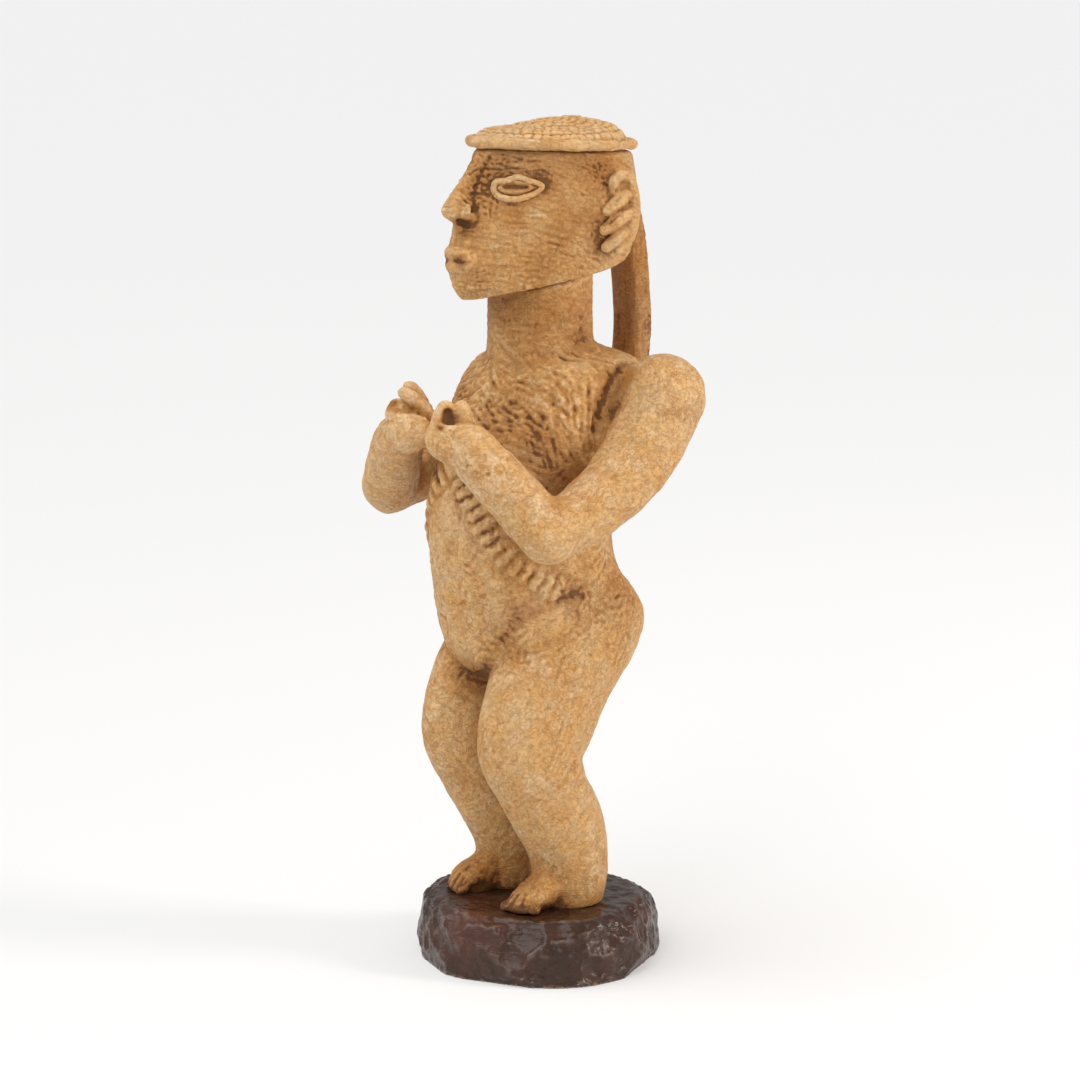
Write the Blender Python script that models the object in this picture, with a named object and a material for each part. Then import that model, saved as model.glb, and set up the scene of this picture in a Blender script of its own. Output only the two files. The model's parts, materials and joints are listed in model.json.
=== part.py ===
"""A standing carved doll on a rough plinth, as the separate pieces that its maker shaped and joined.

The doll faces -Y, its left side is +X, and +Z is up. The origin is in the middle of the plinth's underside.
All sizes are in metres. Round forms are lofts: a list of stations, each an egg-shaped level section, with
smooth curves between them.
"""

import math

import bmesh
import bpy
from mathutils import Matrix, Vector

# ---------------------------------------------------------------- driving sizes
GAP = 0.0003  # between faces that touch

PLINTH_WIDTH = 0.098
PLINTH_HEIGHT = 0.0240
PLINTH_EDGE = 0.004  # how far the top edge is worn in

LEG_LENGTH = 0.090  # sole to crotch
LEG_SPACING = 0.036  # between the middles of the legs
FOOT_TURN = math.radians(6)  # toes out
FOOT_WIDTH = 0.0170
TOE_REACH = 0.028  # toe tips in front of the doll's upright axis
TOE_COUNT = 5

TRUNK_LENGTH = 0.129  # crotch to shoulder top
NECK_RADIUS = 0.0203
NECK_LENGTH = 0.0265  # shoulder top to the middle of the jaw line
NECK_SINK = 0.02  # the neck's overlap into the shoulders before they are joined
HIP_SLOPE = math.radians(37)  # of the hip joint's face

HEAD_HEIGHT = 0.0560  # chin to brim
JAW_SLOPE = math.radians(12)  # the jaw line rises to the back
CHIN_DROP = 0.0075  # the chin below the middle of the jaw line
NOSE_HALF_WIDTH = 0.0058
LIP_LENGTH = 0.0060
LIP_DEPTH = 0.0052
LIP_FRONT = -0.0390  # y of the lips' middle
LIP_SHARES = (("upper_lip", 0.325), ("lower_lip", 0.225))  # shares of the head's height

EYE_LENGTH = 0.0215
EYE_HEIGHT = 0.0105
EYE_RIM_RADIUS = 0.0012
EYE_TURN = math.radians(38)  # of its middle, round the head from the front
EYE_SHARE = 0.765  # of the head's height
EAR_HEIGHT = 0.034
EAR_WIDTH = 0.015
EAR_THICKNESS = 0.0085
EAR_TURN = math.radians(103)  # of its middle, round the head from the front
EAR_SHARE = 0.60  # of the head's height
EAR_LEAN = math.radians(-8)  # its top to the back
EAR_FLARE = math.radians(-20)  # its back edge outwards

BRIM_RADIUS = 0.0021
BRIM_TILT = math.radians(2.2)  # down to the back
BRIM_OVERHANG = 0.0004  # brim's middle line outside the head
CROWN_HEIGHT = 0.0092
CROWN_FULLNESS = 1.8  # 1 is a cone, more is rounder
CROWN_BACK = 0.0085  # crown's top behind the head's widest line
CROWN_INSET = 0.0016  # crown's foot inside the brim's middle line

PLAIT_WIDTH = 0.0165
PLAIT_THICKNESS = 0.0098
PLAIT_STAND_OFF = 0.0400  # plait's inner face behind the neck's axis

SHOULDER_RADIUS = 0.0170
UPPER_ARM_RADIUS = 0.0135
ELBOW_RADIUS = 0.0112
FOREARM_RADIUS = 0.0107
WRIST_RADIUS = 0.0095
PALM_RADIUS = 0.0088
FINGER_RADIUS = 0.0025

DOWEL_RADIUS = 0.0025
FOOT_DOWEL_LENGTH = 0.034
HIP_DOWEL_LENGTH = 0.026
NECK_DOWEL_LENGTH = 0.034
SHOULDER_DOWEL_LENGTH = 0.026
FOOT_DOWEL_Y = -0.003
NECK_DOWEL_Y = 0.002
SHOULDER_DOWEL_INSET = 0.008  # its middle, inwards of the shoulder's

SIDES = 20  # of a level section
STEP = 0.0062  # between the levels of a loft

# ---------------------------------------------------------------- levels worked out from them
SOLE = PLINTH_HEIGHT + GAP
CROTCH = SOLE + LEG_LENGTH
SHOULDER_TOP = CROTCH + TRUNK_LENGTH
JAW = SHOULDER_TOP + NECK_LENGTH
CHIN = JAW - CHIN_DROP
BRIM_SEAT = CHIN + HEAD_HEIGHT

# ---------------------------------------------------------------- forms as stations
# Each station: share of the form's height, front y, back y, half width, roundness of the front
# (2 is an ellipse, less is more pointed).
LEG_STATIONS = (
    (0.00, -0.0140, 0.0140, 0.0120, 2.0),
    (0.10, -0.0145, 0.0162, 0.0130, 2.0),
    (0.21, -0.0162, 0.0163, 0.0136, 2.0),
    (0.352, -0.0242, 0.0152, 0.0143, 2.0),
    (0.50, -0.0322, 0.0096, 0.0146, 2.0),
    (0.62, -0.0391, 0.0040, 0.0149, 2.0),
    (0.75, -0.0424, 0.0095, 0.0153, 2.0),
    (0.92, -0.0400, 0.0180, 0.0162, 2.0),
    (1.08, -0.0336, 0.0300, 0.0172, 2.0),
    (1.25, -0.0210, 0.0354, 0.0168, 2.0),
    (1.40, -0.0040, 0.0276, 0.0122, 2.0),
    (1.48, 0.0040, 0.0200, 0.0070, 2.0),
)
FOOT_STATIONS = (  # share of the toes' reach, share of the foot's width, height
    (1.0, 0.62, 0.0050),
    (0.90, 0.92, 0.0080),
    (0.70, 1.00, 0.0115),
    (0.35, 0.92, 0.0160),
    (0.0, 0.86, 0.0180),
    (-0.5, 0.72, 0.0100),
)
TRUNK_STATIONS = (
    (-0.01, -0.0275, 0.0100, 0.0120, 2.0),
    (0.035, -0.0345, 0.0230, 0.0230, 2.0),
    (0.10, -0.0405, 0.0310, 0.0300, 2.0),
    (0.20, -0.0432, 0.0335, 0.0330, 2.0),
    (0.30, -0.0454, 0.0312, 0.0325, 2.0),
    (0.40, -0.0474, 0.0280, 0.0320, 2.0),
    (0.48, -0.0475, 0.0285, 0.0325, 2.0),
    (0.60, -0.0444, 0.0353, 0.0350, 2.1),
    (0.72, -0.0388, 0.0400, 0.0370, 2.1),
    (0.83, -0.0313, 0.0420, 0.0380, 2.1),
    (0.93, -0.0232, 0.0400, 0.0360, 2.1),
    (0.985, -0.0150, 0.0320, 0.0280, 2.0),
    (1.00, -0.0060, 0.0200, 0.0160, 2.0),
)
HEAD_STATIONS = (
    (-0.02, -0.0370, 0.0300, 0.0200, 1.5),
    (0.06, -0.0415, 0.0330, 0.0240, 1.45),
    (0.20, -0.0428, 0.0360, 0.0270, 1.40),
    (0.40, -0.0420, 0.0385, 0.0295, 1.38),
    (0.60, -0.0410, 0.0395, 0.0305, 1.36),
    (0.76, -0.0375, 0.0395, 0.0305, 1.38),
    (1.04, -0.0288, 0.0368, 0.0288, 1.45),
)
NOSE_STATIONS = (  # share of the head's height, front y, share of the nose's half width
    (0.53, -0.0425, 0.30),
    (0.56, -0.0455, 0.90),
    (0.61, -0.0472, 1.00),
    (0.67, -0.0450, 0.80),
    (0.78, -0.0394, 0.62),
    (0.99, -0.0298, 0.55),
)
HEAD_MIDDLE = 0.008  # y of the head's widest line
NOSE_ROOT = -0.022  # y that the nose reaches back to

# Half widths of the plinth in twelve directions, anticlockwise from +X, as shares of half its width
PLINTH_OUTLINE = (1.09, 0.95, 0.98, 0.90, 0.97, 0.93, 0.99, 1.00, 0.98, 1.04, 1.02, 1.10)

ARM_POINTS = {  # x is outwards; z is above the crotch
    "left": {
        "shoulder": Vector((0.0442, 0.0245, 0.1105)),
        "elbow": Vector((0.0492, -0.0342, 0.0640)),
        "wrist": Vector((0.0255, -0.0535, 0.0955)),
        "palm": Vector((0.0155, -0.0558, 0.0985)),
    },
    "right": {
        "shoulder": Vector((0.0442, 0.0245, 0.1105)),
        "elbow": Vector((0.0514, -0.0348, 0.0702)),
        "wrist": Vector((0.0255, -0.0495, 0.0925)),
        "palm": Vector((0.0150, -0.0525, 0.0985)),
    },
}
UPPER_ARM_BOW = Vector((0.0020, 0.0065, -0.0055))  # of its middle, out, back and down

FINGERS = {  # start and end of each, from the middle of the palm; x is outwards
    "left": (
        (Vector((-0.0024, -0.0030, 0.0030)), Vector((-0.0025, -0.0032, 0.0105))),
        (Vector((-0.0025, -0.0032, 0.0105)), Vector((0.0006, 0.0004, 0.0135))),
        (Vector((0.0026, 0.0030, 0.0030)), Vector((0.0028, 0.0034, 0.0125))),
    ),
    "right": (
        (Vector((0.0024, -0.0032, 0.0162)), Vector((-0.0044, 0.0052, 0.0092))),
        (Vector((0.0014, 0.0016, 0.0050)), Vector((0.0010, 0.0026, 0.0168))),
        (Vector((0.0026, -0.0024, 0.0040)), Vector((0.0028, -0.0030, 0.0150))),
    ),
}

PLAIT_STATIONS = (  # z above the shoulder top, inner face y relative to its stand-off
    (-0.0200, -0.0035),
    (-0.0100, 0.0),
    (0.0040, 0.0012),
    (0.0140, 0.0008),
    (0.0280, -0.0005),
    (0.0420, -0.0025),
    (0.0540, -0.0055),
    (0.0600, -0.0080),
)

# ---------------------------------------------------------------- scene, collections, materials
for old in list(bpy.data.objects):
    bpy.data.objects.remove(old, do_unlink=True)

doll = bpy.data.collections.new("fertility_doll")
cutters = bpy.data.collections.new("cutters")
bpy.context.scene.collection.children.link(doll)
bpy.context.scene.collection.children.link(cutters)


def material(name, colour, roughness):
    made = bpy.data.materials.new(name)
    made.use_nodes = True
    shader = made.node_tree.nodes["Principled BSDF"]
    shader.inputs["Base Color"].default_value = (*colour, 1.0)
    shader.inputs["Roughness"].default_value = roughness
    shader.inputs["Metallic"].default_value = 0.0
    return made


PALE = material("pale_wood", (0.62, 0.42, 0.22), 0.55)
BROWN = material("brown_lacquer", (0.045, 0.022, 0.017), 0.30)
PEG = material("dowel_wood", (0.50, 0.33, 0.17), 0.65)


# ---------------------------------------------------------------- small tools
def between(stations, share):
    """The values at a share along the stations, on a smooth curve through them."""
    last = len(stations) - 1
    i = 0
    while i < last - 1 and share > stations[i + 1][0]:
        i += 1
    before, start, end, after = (stations[max(0, min(last, i + k))] for k in (-1, 0, 1, 2))
    t = min(1.0, max(0.0, (share - start[0]) / (end[0] - start[0])))
    values = []
    for a, b, c, d in zip(before[1:], start[1:], end[1:], after[1:]):
        slope_in, slope_out = (c - a) / 2, (d - b) / 2
        values.append(
            b * (2 * t**3 - 3 * t**2 + 1)
            + slope_in * (t**3 - 2 * t**2 + t)
            + c * (3 * t**2 - 2 * t**3)
            + slope_out * (t**3 - t**2)
        )
    return values


def egg(front, back, half_width, roundness, middle_y, angle, grow=0.0):
    """A point of a level section. Angle 0 is the front and a quarter turn is +X."""
    across, along = math.sin(angle), -math.cos(angle)
    bend = 2 / roundness if along < 0 else 1.0
    reach = (middle_y - front if along < 0 else back - middle_y) + grow
    x = (half_width + grow) * math.copysign(abs(across) ** bend, across)
    y = middle_y + reach * math.copysign(abs(along) ** bend, along)
    return x, y


def loft(name, rings, look=PALE, place=doll):
    """One closed solid through rings of points that all hold the same number of points."""
    shell = bmesh.new()
    rows = [[shell.verts.new(point) for point in ring] for ring in rings]
    for low, high in zip(rows, rows[1:]):
        for i in range(len(low)):
            j = (i + 1) % len(low)
            shell.faces.new((low[i], low[j], high[j], high[i]))
    shell.faces.new(list(reversed(rows[0])))
    shell.faces.new(rows[-1])
    bmesh.ops.recalc_face_normals(shell, faces=shell.faces)
    mesh = bpy.data.meshes.new(name)
    shell.to_mesh(mesh)
    shell.free()
    mesh.shade_smooth()
    mesh.set_sharp_from_angle(angle=math.radians(40))
    mesh.materials.append(look)
    made = bpy.data.objects.new(name, mesh)
    place.objects.link(made)
    if place is cutters:
        made.hide_render = True
        made.display_type = "WIRE"
    return made


def tower(name, stations, foot, height, middle_y=None, middle_x=0.0, grow=0.0, place=doll):
    """A loft of level sections, from the first station to the last."""
    low, high = stations[0][0], stations[-1][0]
    levels = max(4, round((high - low) * height / STEP))
    rings = []
    for level in range(levels + 1):
        share = low + (high - low) * level / levels
        front, back, half_width, roundness = between(stations, share)
        widest = (front + back) / 2 if middle_y is None else middle_y
        ring = []
        for side in range(SIDES):
            x, y = egg(front, back, half_width, roundness, widest, math.tau * side / SIDES, grow)
            ring.append((middle_x + x, y, foot + share * height))
        rings.append(ring)
    return loft(name, rings, place=place)


def cylinder(name, middle, axis, radius, length, look=PEG, place=doll, sides=20):
    turn = Vector(axis).normalized().to_track_quat("Z", "Y").to_matrix().to_4x4()
    shell = bmesh.new()
    bmesh.ops.create_cone(
        shell,
        cap_ends=True,
        segments=sides,
        radius1=radius,
        radius2=radius,
        depth=length,
        matrix=Matrix.Translation(middle) @ turn,
    )
    mesh = bpy.data.meshes.new(name)
    shell.to_mesh(mesh)
    shell.free()
    mesh.shade_smooth()
    mesh.set_sharp_from_angle(angle=math.radians(40))
    mesh.materials.append(look)
    made = bpy.data.objects.new(name, mesh)
    place.objects.link(made)
    if place is cutters:
        made.hide_render = True
        made.display_type = "WIRE"
    return made


def ball(name, middle, radii, turn=None, look=PALE, place=cutters, rings=10, sides=16):
    """An ellipsoid, as a helper unless another place is given."""
    shell = bmesh.new()
    pose = Matrix.Translation(middle) @ (turn or Matrix.Identity(4)) @ Matrix.Diagonal((*radii, 1.0))
    bmesh.ops.create_uvsphere(shell, u_segments=sides, v_segments=rings, radius=1.0, matrix=pose)
    mesh = bpy.data.meshes.new(name)
    shell.to_mesh(mesh)
    shell.free()
    mesh.shade_smooth()
    mesh.materials.append(look)
    made = bpy.data.objects.new(name, mesh)
    place.objects.link(made)
    if place is cutters:
        made.hide_render = True
        made.display_type = "WIRE"
    return made


def capsule(name, start, end, radii, sides, place=cutters, bow=Vector()):
    """A rounded limb from one point to another, with its radius at the start, middle and end."""
    first, middle, last = radii
    axis = end - start
    frame = axis.normalized().to_track_quat("Z", "Y").to_matrix()
    stations = []
    for step in range(1, 4):
        turn = math.pi / 2 * step / 4
        stations.append((-first * math.cos(turn), first * math.sin(turn)))
    for step in range(6):
        t = step / 5
        radius = first * (1 - t) ** 2 + last * t**2 + (4 * middle - first - last) * t * (1 - t)
        stations.append((axis.length * t, radius))
    for step in range(1, 4):
        turn = math.pi / 2 * step / 4
        stations.append((axis.length + last * math.sin(turn), last * math.cos(turn)))
    rings = []
    for along, radius in stations:
        t = min(1.0, max(0.0, along / axis.length))
        middle_line = start + bow * 4 * t * (1 - t)
        ring = []
        for i in range(sides):
            angle = math.tau * i / sides
            flat = Vector((radius * math.cos(angle), radius * math.sin(angle), along))
            ring.append(middle_line + frame @ flat)
        rings.append(ring)
    return loft(name, rings, place=place)


def slab(name, middle, turn, size):
    """A box that cuts away all that lies on its side of a plane. Its lower face is the plane."""
    shell = bmesh.new()
    pose = Matrix.Translation(middle) @ turn @ Matrix.Translation((0, 0, size / 2))
    bmesh.ops.create_cube(shell, size=size, matrix=pose)
    mesh = bpy.data.meshes.new(name)
    shell.to_mesh(mesh)
    shell.free()
    made = bpy.data.objects.new(name, mesh)
    cutters.objects.link(made)
    made.hide_render = True
    made.display_type = "WIRE"
    return made


def combine(target, other, operation):
    modifier = target.modifiers.new(f"{operation.lower()} {other.name}", "BOOLEAN")
    modifier.operation = operation
    modifier.object = other


def tube(name, points, radii, look=PALE, place=doll, sides_level=4, closed=False):
    """A curve with round section, turned into a mesh with welded caps."""
    curve = bpy.data.curves.new(name, "CURVE")
    curve.dimensions = "3D"
    curve.bevel_depth = 1.0
    curve.bevel_resolution = sides_level
    curve.use_fill_caps = True
    spline = curve.splines.new("POLY")
    spline.points.add(len(points) - 1)
    spline.use_cyclic_u = closed
    for knot, point, radius in zip(spline.points, points, radii):
        knot.co = (*point, 1.0)
        knot.radius = radius
    rough = bpy.data.objects.new(name + "_curve", curve)
    cutters.objects.link(rough)
    bpy.context.view_layer.update()
    seen = rough.evaluated_get(bpy.context.evaluated_depsgraph_get())
    mesh = bpy.data.meshes.new_from_object(seen)
    mesh.name = name
    shell = bmesh.new()
    shell.from_mesh(mesh)
    bmesh.ops.remove_doubles(shell, verts=shell.verts, dist=1e-6)
    bmesh.ops.recalc_face_normals(shell, faces=shell.faces)
    shell.to_mesh(mesh)
    shell.free()
    mesh.shade_smooth()
    mesh.set_sharp_from_angle(angle=math.radians(50))
    mesh.materials.clear()
    mesh.materials.append(look)
    made = bpy.data.objects.new(name, mesh)
    made.matrix_world = rough.matrix_world
    bpy.data.objects.remove(rough, do_unlink=True)
    place.objects.link(made)
    if place is cutters:
        made.hide_render = True
        made.display_type = "WIRE"
    return made


def dowel(name, middle, axis, length, holders):
    """A round peg and the blind hole for it, with clearance, in each piece that holds it."""
    cylinder(name, middle, axis, DOWEL_RADIUS, length)
    hole = cylinder(
        name + "_hole", middle, axis, DOWEL_RADIUS + GAP, length + 2 * GAP, place=cutters
    )
    for holder in holders:
        combine(holder, hole, "DIFFERENCE")


# ---------------------------------------------------------------- plinth
def plinth():
    """A rough block with an uneven outline, drawn in under its foot and at its top edge."""
    count = len(PLINTH_OUTLINE)
    profile = (  # height, how far in from the outline
        (0.0, 0.0025),
        (0.16 * PLINTH_HEIGHT, 0.0),
        (0.55 * PLINTH_HEIGHT, 0.0008),
        (PLINTH_HEIGHT - 0.5 * PLINTH_EDGE, 0.35 * PLINTH_EDGE),
        (PLINTH_HEIGHT, PLINTH_EDGE),
    )
    rings = []
    for height, inset in profile:
        ring = []
        for i in range(2 * count):
            share = i / 2
            low, high = PLINTH_OUTLINE[int(share) % count], PLINTH_OUTLINE[math.ceil(share) % count]
            reach = PLINTH_WIDTH / 2 * (low + high) / 2 - inset
            angle = math.tau * i / (2 * count)
            ring.append((reach * math.cos(angle), reach * math.sin(angle), height))
        rings.append(ring)
    return loft("plinth", rings, look=BROWN)


# ---------------------------------------------------------------- trunk and legs
def leg_form(name, side, place):
    """Leg and foot, roughed out as one. side is 1 for the doll's left and -1 for its right."""
    middle = side * LEG_SPACING / 2
    leg = tower(name, LEG_STATIONS, SOLE, LEG_LENGTH, middle_x=middle, place=place)
    turn = Matrix.Rotation(side * FOOT_TURN, 4, "Z")
    rings = []
    for reach, share, height in FOOT_STATIONS:
        y = -reach * TOE_REACH
        ring = []
        for i in range(16):
            angle = math.tau * i / 16
            across = math.sin(angle) * FOOT_WIDTH / 2 * share
            up = height * max(0.0, 0.5 - 0.5 * math.cos(angle)) ** 0.8
            ring.append(Vector((middle, 0, SOLE)) + turn @ Vector((across, y, up)))
        rings.append(ring)
    foot = loft(name + "_foot", rings, place=cutters)
    combine(leg, foot, "UNION")
    for toe in range(TOE_COUNT):
        share = (toe + 0.5) / TOE_COUNT - 0.5
        reach = TOE_REACH * (0.97 - 0.10 * (toe if side > 0 else TOE_COUNT - 1 - toe) / TOE_COUNT)
        radius = FOOT_WIDTH / TOE_COUNT * 0.62
        spot = turn @ Vector((share * FOOT_WIDTH * 0.95, -reach, radius))
        tip = ball(
            f"{name}_toe_{toe}",
            Vector((middle, 0, SOLE)) + spot,
            (radius, radius * 1.7, radius),
            turn=turn,
            rings=6,
            sides=8,
        )
        combine(leg, tip, "UNION")
    return leg


def trunk_form(name, place, grow=0.0):
    return tower(name, TRUNK_STATIONS, CROTCH, TRUNK_LENGTH, grow=grow, place=place)


def hip_plane(side):
    """Middle and turn of the hip joint's face, which slopes up and out from the crotch."""
    middle = Vector((side * LEG_SPACING / 2, -0.004, CROTCH + LEG_SPACING / 2 * math.tan(HIP_SLOPE)))
    turn = Matrix.Rotation(-side * HIP_SLOPE, 4, "Y")
    return middle, turn


def trunk_and_legs():
    """Trunk and legs are shaped together and sawn apart at the hips, so that their surfaces run on."""
    made = {}
    for name in ("trunk", "left_leg", "right_leg"):
        body = trunk_form(name, doll)
        for side, word in ((1, "left"), (-1, "right")):
            combine(body, leg_form(f"{word}_leg_in_{name}", side, cutters), "UNION")
        made[name] = body
    neck_foot = SHOULDER_TOP - NECK_SINK
    neck_top = JAW + CHIN_DROP + NECK_SINK  # cut off later at the jaw line
    neck = cylinder(
        "neck_post",
        (0, 0, (neck_foot + neck_top) / 2),
        (0, 0, 1),
        NECK_RADIUS,
        neck_top - neck_foot,
        place=cutters,
        sides=28,
    )
    combine(made["trunk"], neck, "UNION")
    size = 2 * (LEG_LENGTH + TRUNK_LENGTH)
    for side, word in ((1, "left"), (-1, "right")):
        middle, turn = hip_plane(side)
        up = turn @ Vector((0, 0, 1))
        below = turn @ Matrix.Rotation(math.pi, 4, "X")
        combine(made["trunk"], slab(f"{word}_hip_below", middle, below, size), "DIFFERENCE")
        leg = made[f"{word}_leg"]
        combine(leg, slab(f"{word}_hip_above", middle - up * GAP, turn, size), "DIFFERENCE")
        inwards = Matrix.Rotation(-side * math.pi / 2, 4, "Y")
        inner = slab(f"{word}_leg_inner", (side * GAP / 2, 0, CROTCH), inwards, size)
        combine(leg, inner, "DIFFERENCE")
    return made


# ---------------------------------------------------------------- head, cap, eyes, ears
def jaw_slab(name, drop, under):
    """Cuts at the jaw line, which slopes up to the back: all below it, or all above it."""
    turn = Matrix.Rotation(JAW_SLOPE, 4, "X")
    if under:
        turn = turn @ Matrix.Rotation(math.pi, 4, "X")
    return slab(name, (0, 0, JAW - drop), turn, 3 * HEAD_HEIGHT)


def head_form(name, place, grow=0.0):
    return tower(
        name, HEAD_STATIONS, CHIN, HEAD_HEIGHT, middle_y=HEAD_MIDDLE, grow=grow, place=place
    )


def face_point(share, angle, off=0.0):
    """A point on the head's surface, or off it along the level outline's normal."""
    def spot(where, turn):
        front, back, half_width, roundness = between(HEAD_STATIONS, where)
        x, y = egg(front, back, half_width, roundness, HEAD_MIDDLE, turn)
        return Vector((x, y, CHIN + where * HEAD_HEIGHT))

    here = spot(share, angle)
    around = spot(share, angle + 0.02) - here
    up = spot(share + 0.02, angle) - here
    normal = around.cross(up).normalized()
    return here + normal * off


def head():
    made = head_form("head", doll)
    rings = []
    levels = 10
    for level in range(levels + 1):
        low, high = NOSE_STATIONS[0][0], NOSE_STATIONS[-1][0]
        share = low + (high - low) * level / levels
        front, width_share = between(NOSE_STATIONS, share)
        half = NOSE_HALF_WIDTH * width_share
        ring = []
        for i in range(12):
            angle = math.tau * i / 12
            x = half * math.sin(angle)
            y = (front + NOSE_ROOT) / 2 - (NOSE_ROOT - front) / 2 * math.cos(angle)
            ring.append((x, y, CHIN + share * HEAD_HEIGHT))
        rings.append(ring)
    combine(made, loft("nose", rings, place=cutters), "UNION")
    lip_height = LIP_LENGTH * 0.42
    for name, share in LIP_SHARES:
        lip = ball(
            name,
            (0, LIP_FRONT, CHIN + share * HEAD_HEIGHT),
            (LIP_LENGTH, LIP_DEPTH, lip_height),
            rings=8,
            sides=14,
        )
        combine(made, lip, "UNION")
    combine(made, jaw_slab("below_jaw", 0.0, under=True), "DIFFERENCE")
    tilt = Matrix.Rotation(-BRIM_TILT, 4, "X")
    combine(made, slab("above_brim", (0, 0, BRIM_SEAT), tilt, 3 * HEAD_HEIGHT), "DIFFERENCE")
    return made


def cap_outline(off):
    """The head's outline at the brim's seat, moved outwards."""
    front, back, half_width, roundness = between(HEAD_STATIONS, 1.0)
    points = []
    count = 36
    for i in range(count):
        angle = math.tau * i / count
        points.append(egg(front, back, half_width, roundness + 0.25, HEAD_MIDDLE, angle, off))
    return points


def cap():
    """A rolled brim round a low domed crown. The crown sits inside the brim."""
    tilt = Matrix.Translation((0, 0, BRIM_SEAT)) @ Matrix.Rotation(-BRIM_TILT, 4, "X")
    height = GAP + BRIM_RADIUS
    line = [tilt @ Vector((x, y, height)) for x, y in cap_outline(BRIM_OVERHANG)]
    radii = [BRIM_RADIUS] * len(line)
    brim = tube("brim", line, radii, sides_level=3, closed=True)
    foot = cap_outline(BRIM_OVERHANG - CROWN_INSET)
    middle = Vector((0, HEAD_MIDDLE + CROWN_BACK, 0))
    rings = [[tilt @ Vector((x, y, GAP)) for x, y in foot]]
    steps = 7
    for step in range(steps + 1):
        share = 1 - 0.96 * step / steps
        up = Vector((0, 0, height + CROWN_HEIGHT * (1 - share**CROWN_FULLNESS)))
        rings.append([tilt @ (middle.lerp(Vector((x, y, 0)), share) + up) for x, y in foot])
    crown = loft("crown", rings)
    wide = [BRIM_RADIUS + GAP] * len(line)
    groove = tube("brim_groove", line, wide, place=cutters, sides_level=3, closed=True)
    combine(crown, groove, "DIFFERENCE")


def eye_rim(word, side):
    """A coil bent to an almond and laid on the cheek. The pointed end is the outer corner."""
    lift = EYE_RIM_RADIUS + GAP
    small_turn = 0.05
    across = face_point(EYE_SHARE, EYE_TURN + small_turn) - face_point(EYE_SHARE, EYE_TURN)
    turn_per_metre = small_turn / across.length
    points = []
    count = 26
    for i in range(count):
        t = math.tau * i / count
        along = -math.cos(t) * EYE_LENGTH / 2
        pinch = 0.5 + 0.5 * math.cos(t)
        up = math.sin(t) * EYE_HEIGHT / 2 * (0.80 + 0.20 * pinch)
        share = EYE_SHARE + up / HEAD_HEIGHT
        point = face_point(share, EYE_TURN + along * turn_per_metre, lift)
        points.append(Vector((side * point.x, point.y, point.z)))
    if side < 0:
        points.reverse()
    return tube(f"{word}_eye_rim", points, [EYE_RIM_RADIUS] * count, sides_level=2, closed=True)


def ear(word, side):
    """A shell-shaped ear with ridges, glued flat to the side of the head."""
    middle = face_point(EAR_SHARE, EAR_TURN)
    middle.x *= side
    tilt = Matrix.Rotation(EAR_LEAN, 4, "X")
    flare = Matrix.Rotation(side * EAR_FLARE, 4, "Z")
    turn = flare @ tilt
    made = ball(
        f"{word}_ear",
        middle,
        (EAR_THICKNESS / 2, EAR_WIDTH / 2, EAR_HEIGHT / 2),
        turn=turn,
        place=doll,
        rings=14,
        sides=20,
    )
    combine(made, bpy.data.objects["head_block"], "DIFFERENCE")
    return made


# ---------------------------------------------------------------- plait
def plait():
    """A flat strap from the back of the head to the upper back, standing clear of the neck."""
    half_width, half_thick = PLAIT_WIDTH / 2, PLAIT_THICKNESS / 2
    low, high = PLAIT_STATIONS[0][0], PLAIT_STATIONS[-1][0]
    levels = 14
    rings = []
    for level in range(levels + 1):
        z = low + (high - low) * level / levels
        (inner,) = between(PLAIT_STATIONS, z)
        middle = PLAIT_STAND_OFF + inner + half_thick
        ring = []
        for i in range(16):
            angle = math.tau * i / 16
            x = half_width * math.copysign(abs(math.sin(angle)) ** 0.45, math.sin(angle))
            y = half_thick * math.copysign(abs(math.cos(angle)) ** 0.45, -math.cos(angle))
            ring.append((x, middle + y, SHOULDER_TOP + z))
        rings.append(ring)
    made = loft("plait", rings)
    combine(made, bpy.data.objects["head_block"], "DIFFERENCE")
    combine(made, bpy.data.objects["trunk_block"], "DIFFERENCE")
    return made


# ---------------------------------------------------------------- arms
def arm(word, side):
    """Upper arm, forearm and fist in one piece, fitted to the side of the trunk."""
    points = {
        joint: Vector((side * spot.x, spot.y, CROTCH + spot.z))
        for joint, spot in ARM_POINTS[word].items()
    }
    shoulder, elbow, wrist, palm = (points[k] for k in ("shoulder", "elbow", "wrist", "palm"))
    name = f"{word}_arm"

    upper_radii = (SHOULDER_RADIUS, UPPER_ARM_RADIUS, ELBOW_RADIUS)
    lower_radii = (ELBOW_RADIUS * 0.97, FOREARM_RADIUS, WRIST_RADIUS)
    hand_radii = (WRIST_RADIUS * 0.96, PALM_RADIUS * 1.02, PALM_RADIUS)
    bow = Vector((side * UPPER_ARM_BOW.x, UPPER_ARM_BOW.y, UPPER_ARM_BOW.z))
    made = capsule(name, shoulder, elbow, upper_radii, 18, place=doll, bow=bow)
    pieces = [
        capsule(f"{name}_lower", elbow, wrist, lower_radii, 16),
        capsule(f"{name}_hand", wrist, palm, hand_radii, 14),
    ]
    for finger, ends in enumerate(FINGERS[word]):
        root, tip = (palm + Vector((side * end.x, end.y, end.z)) for end in ends)
        radii = (FINGER_RADIUS * 1.04, FINGER_RADIUS, FINGER_RADIUS * 0.96)
        pieces.append(capsule(f"{name}_finger_{finger}", root, tip, radii, 10))
    for piece in pieces:
        combine(made, piece, "UNION")
    combine(made, bpy.data.objects["trunk_block"], "DIFFERENCE")
    return made


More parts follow.
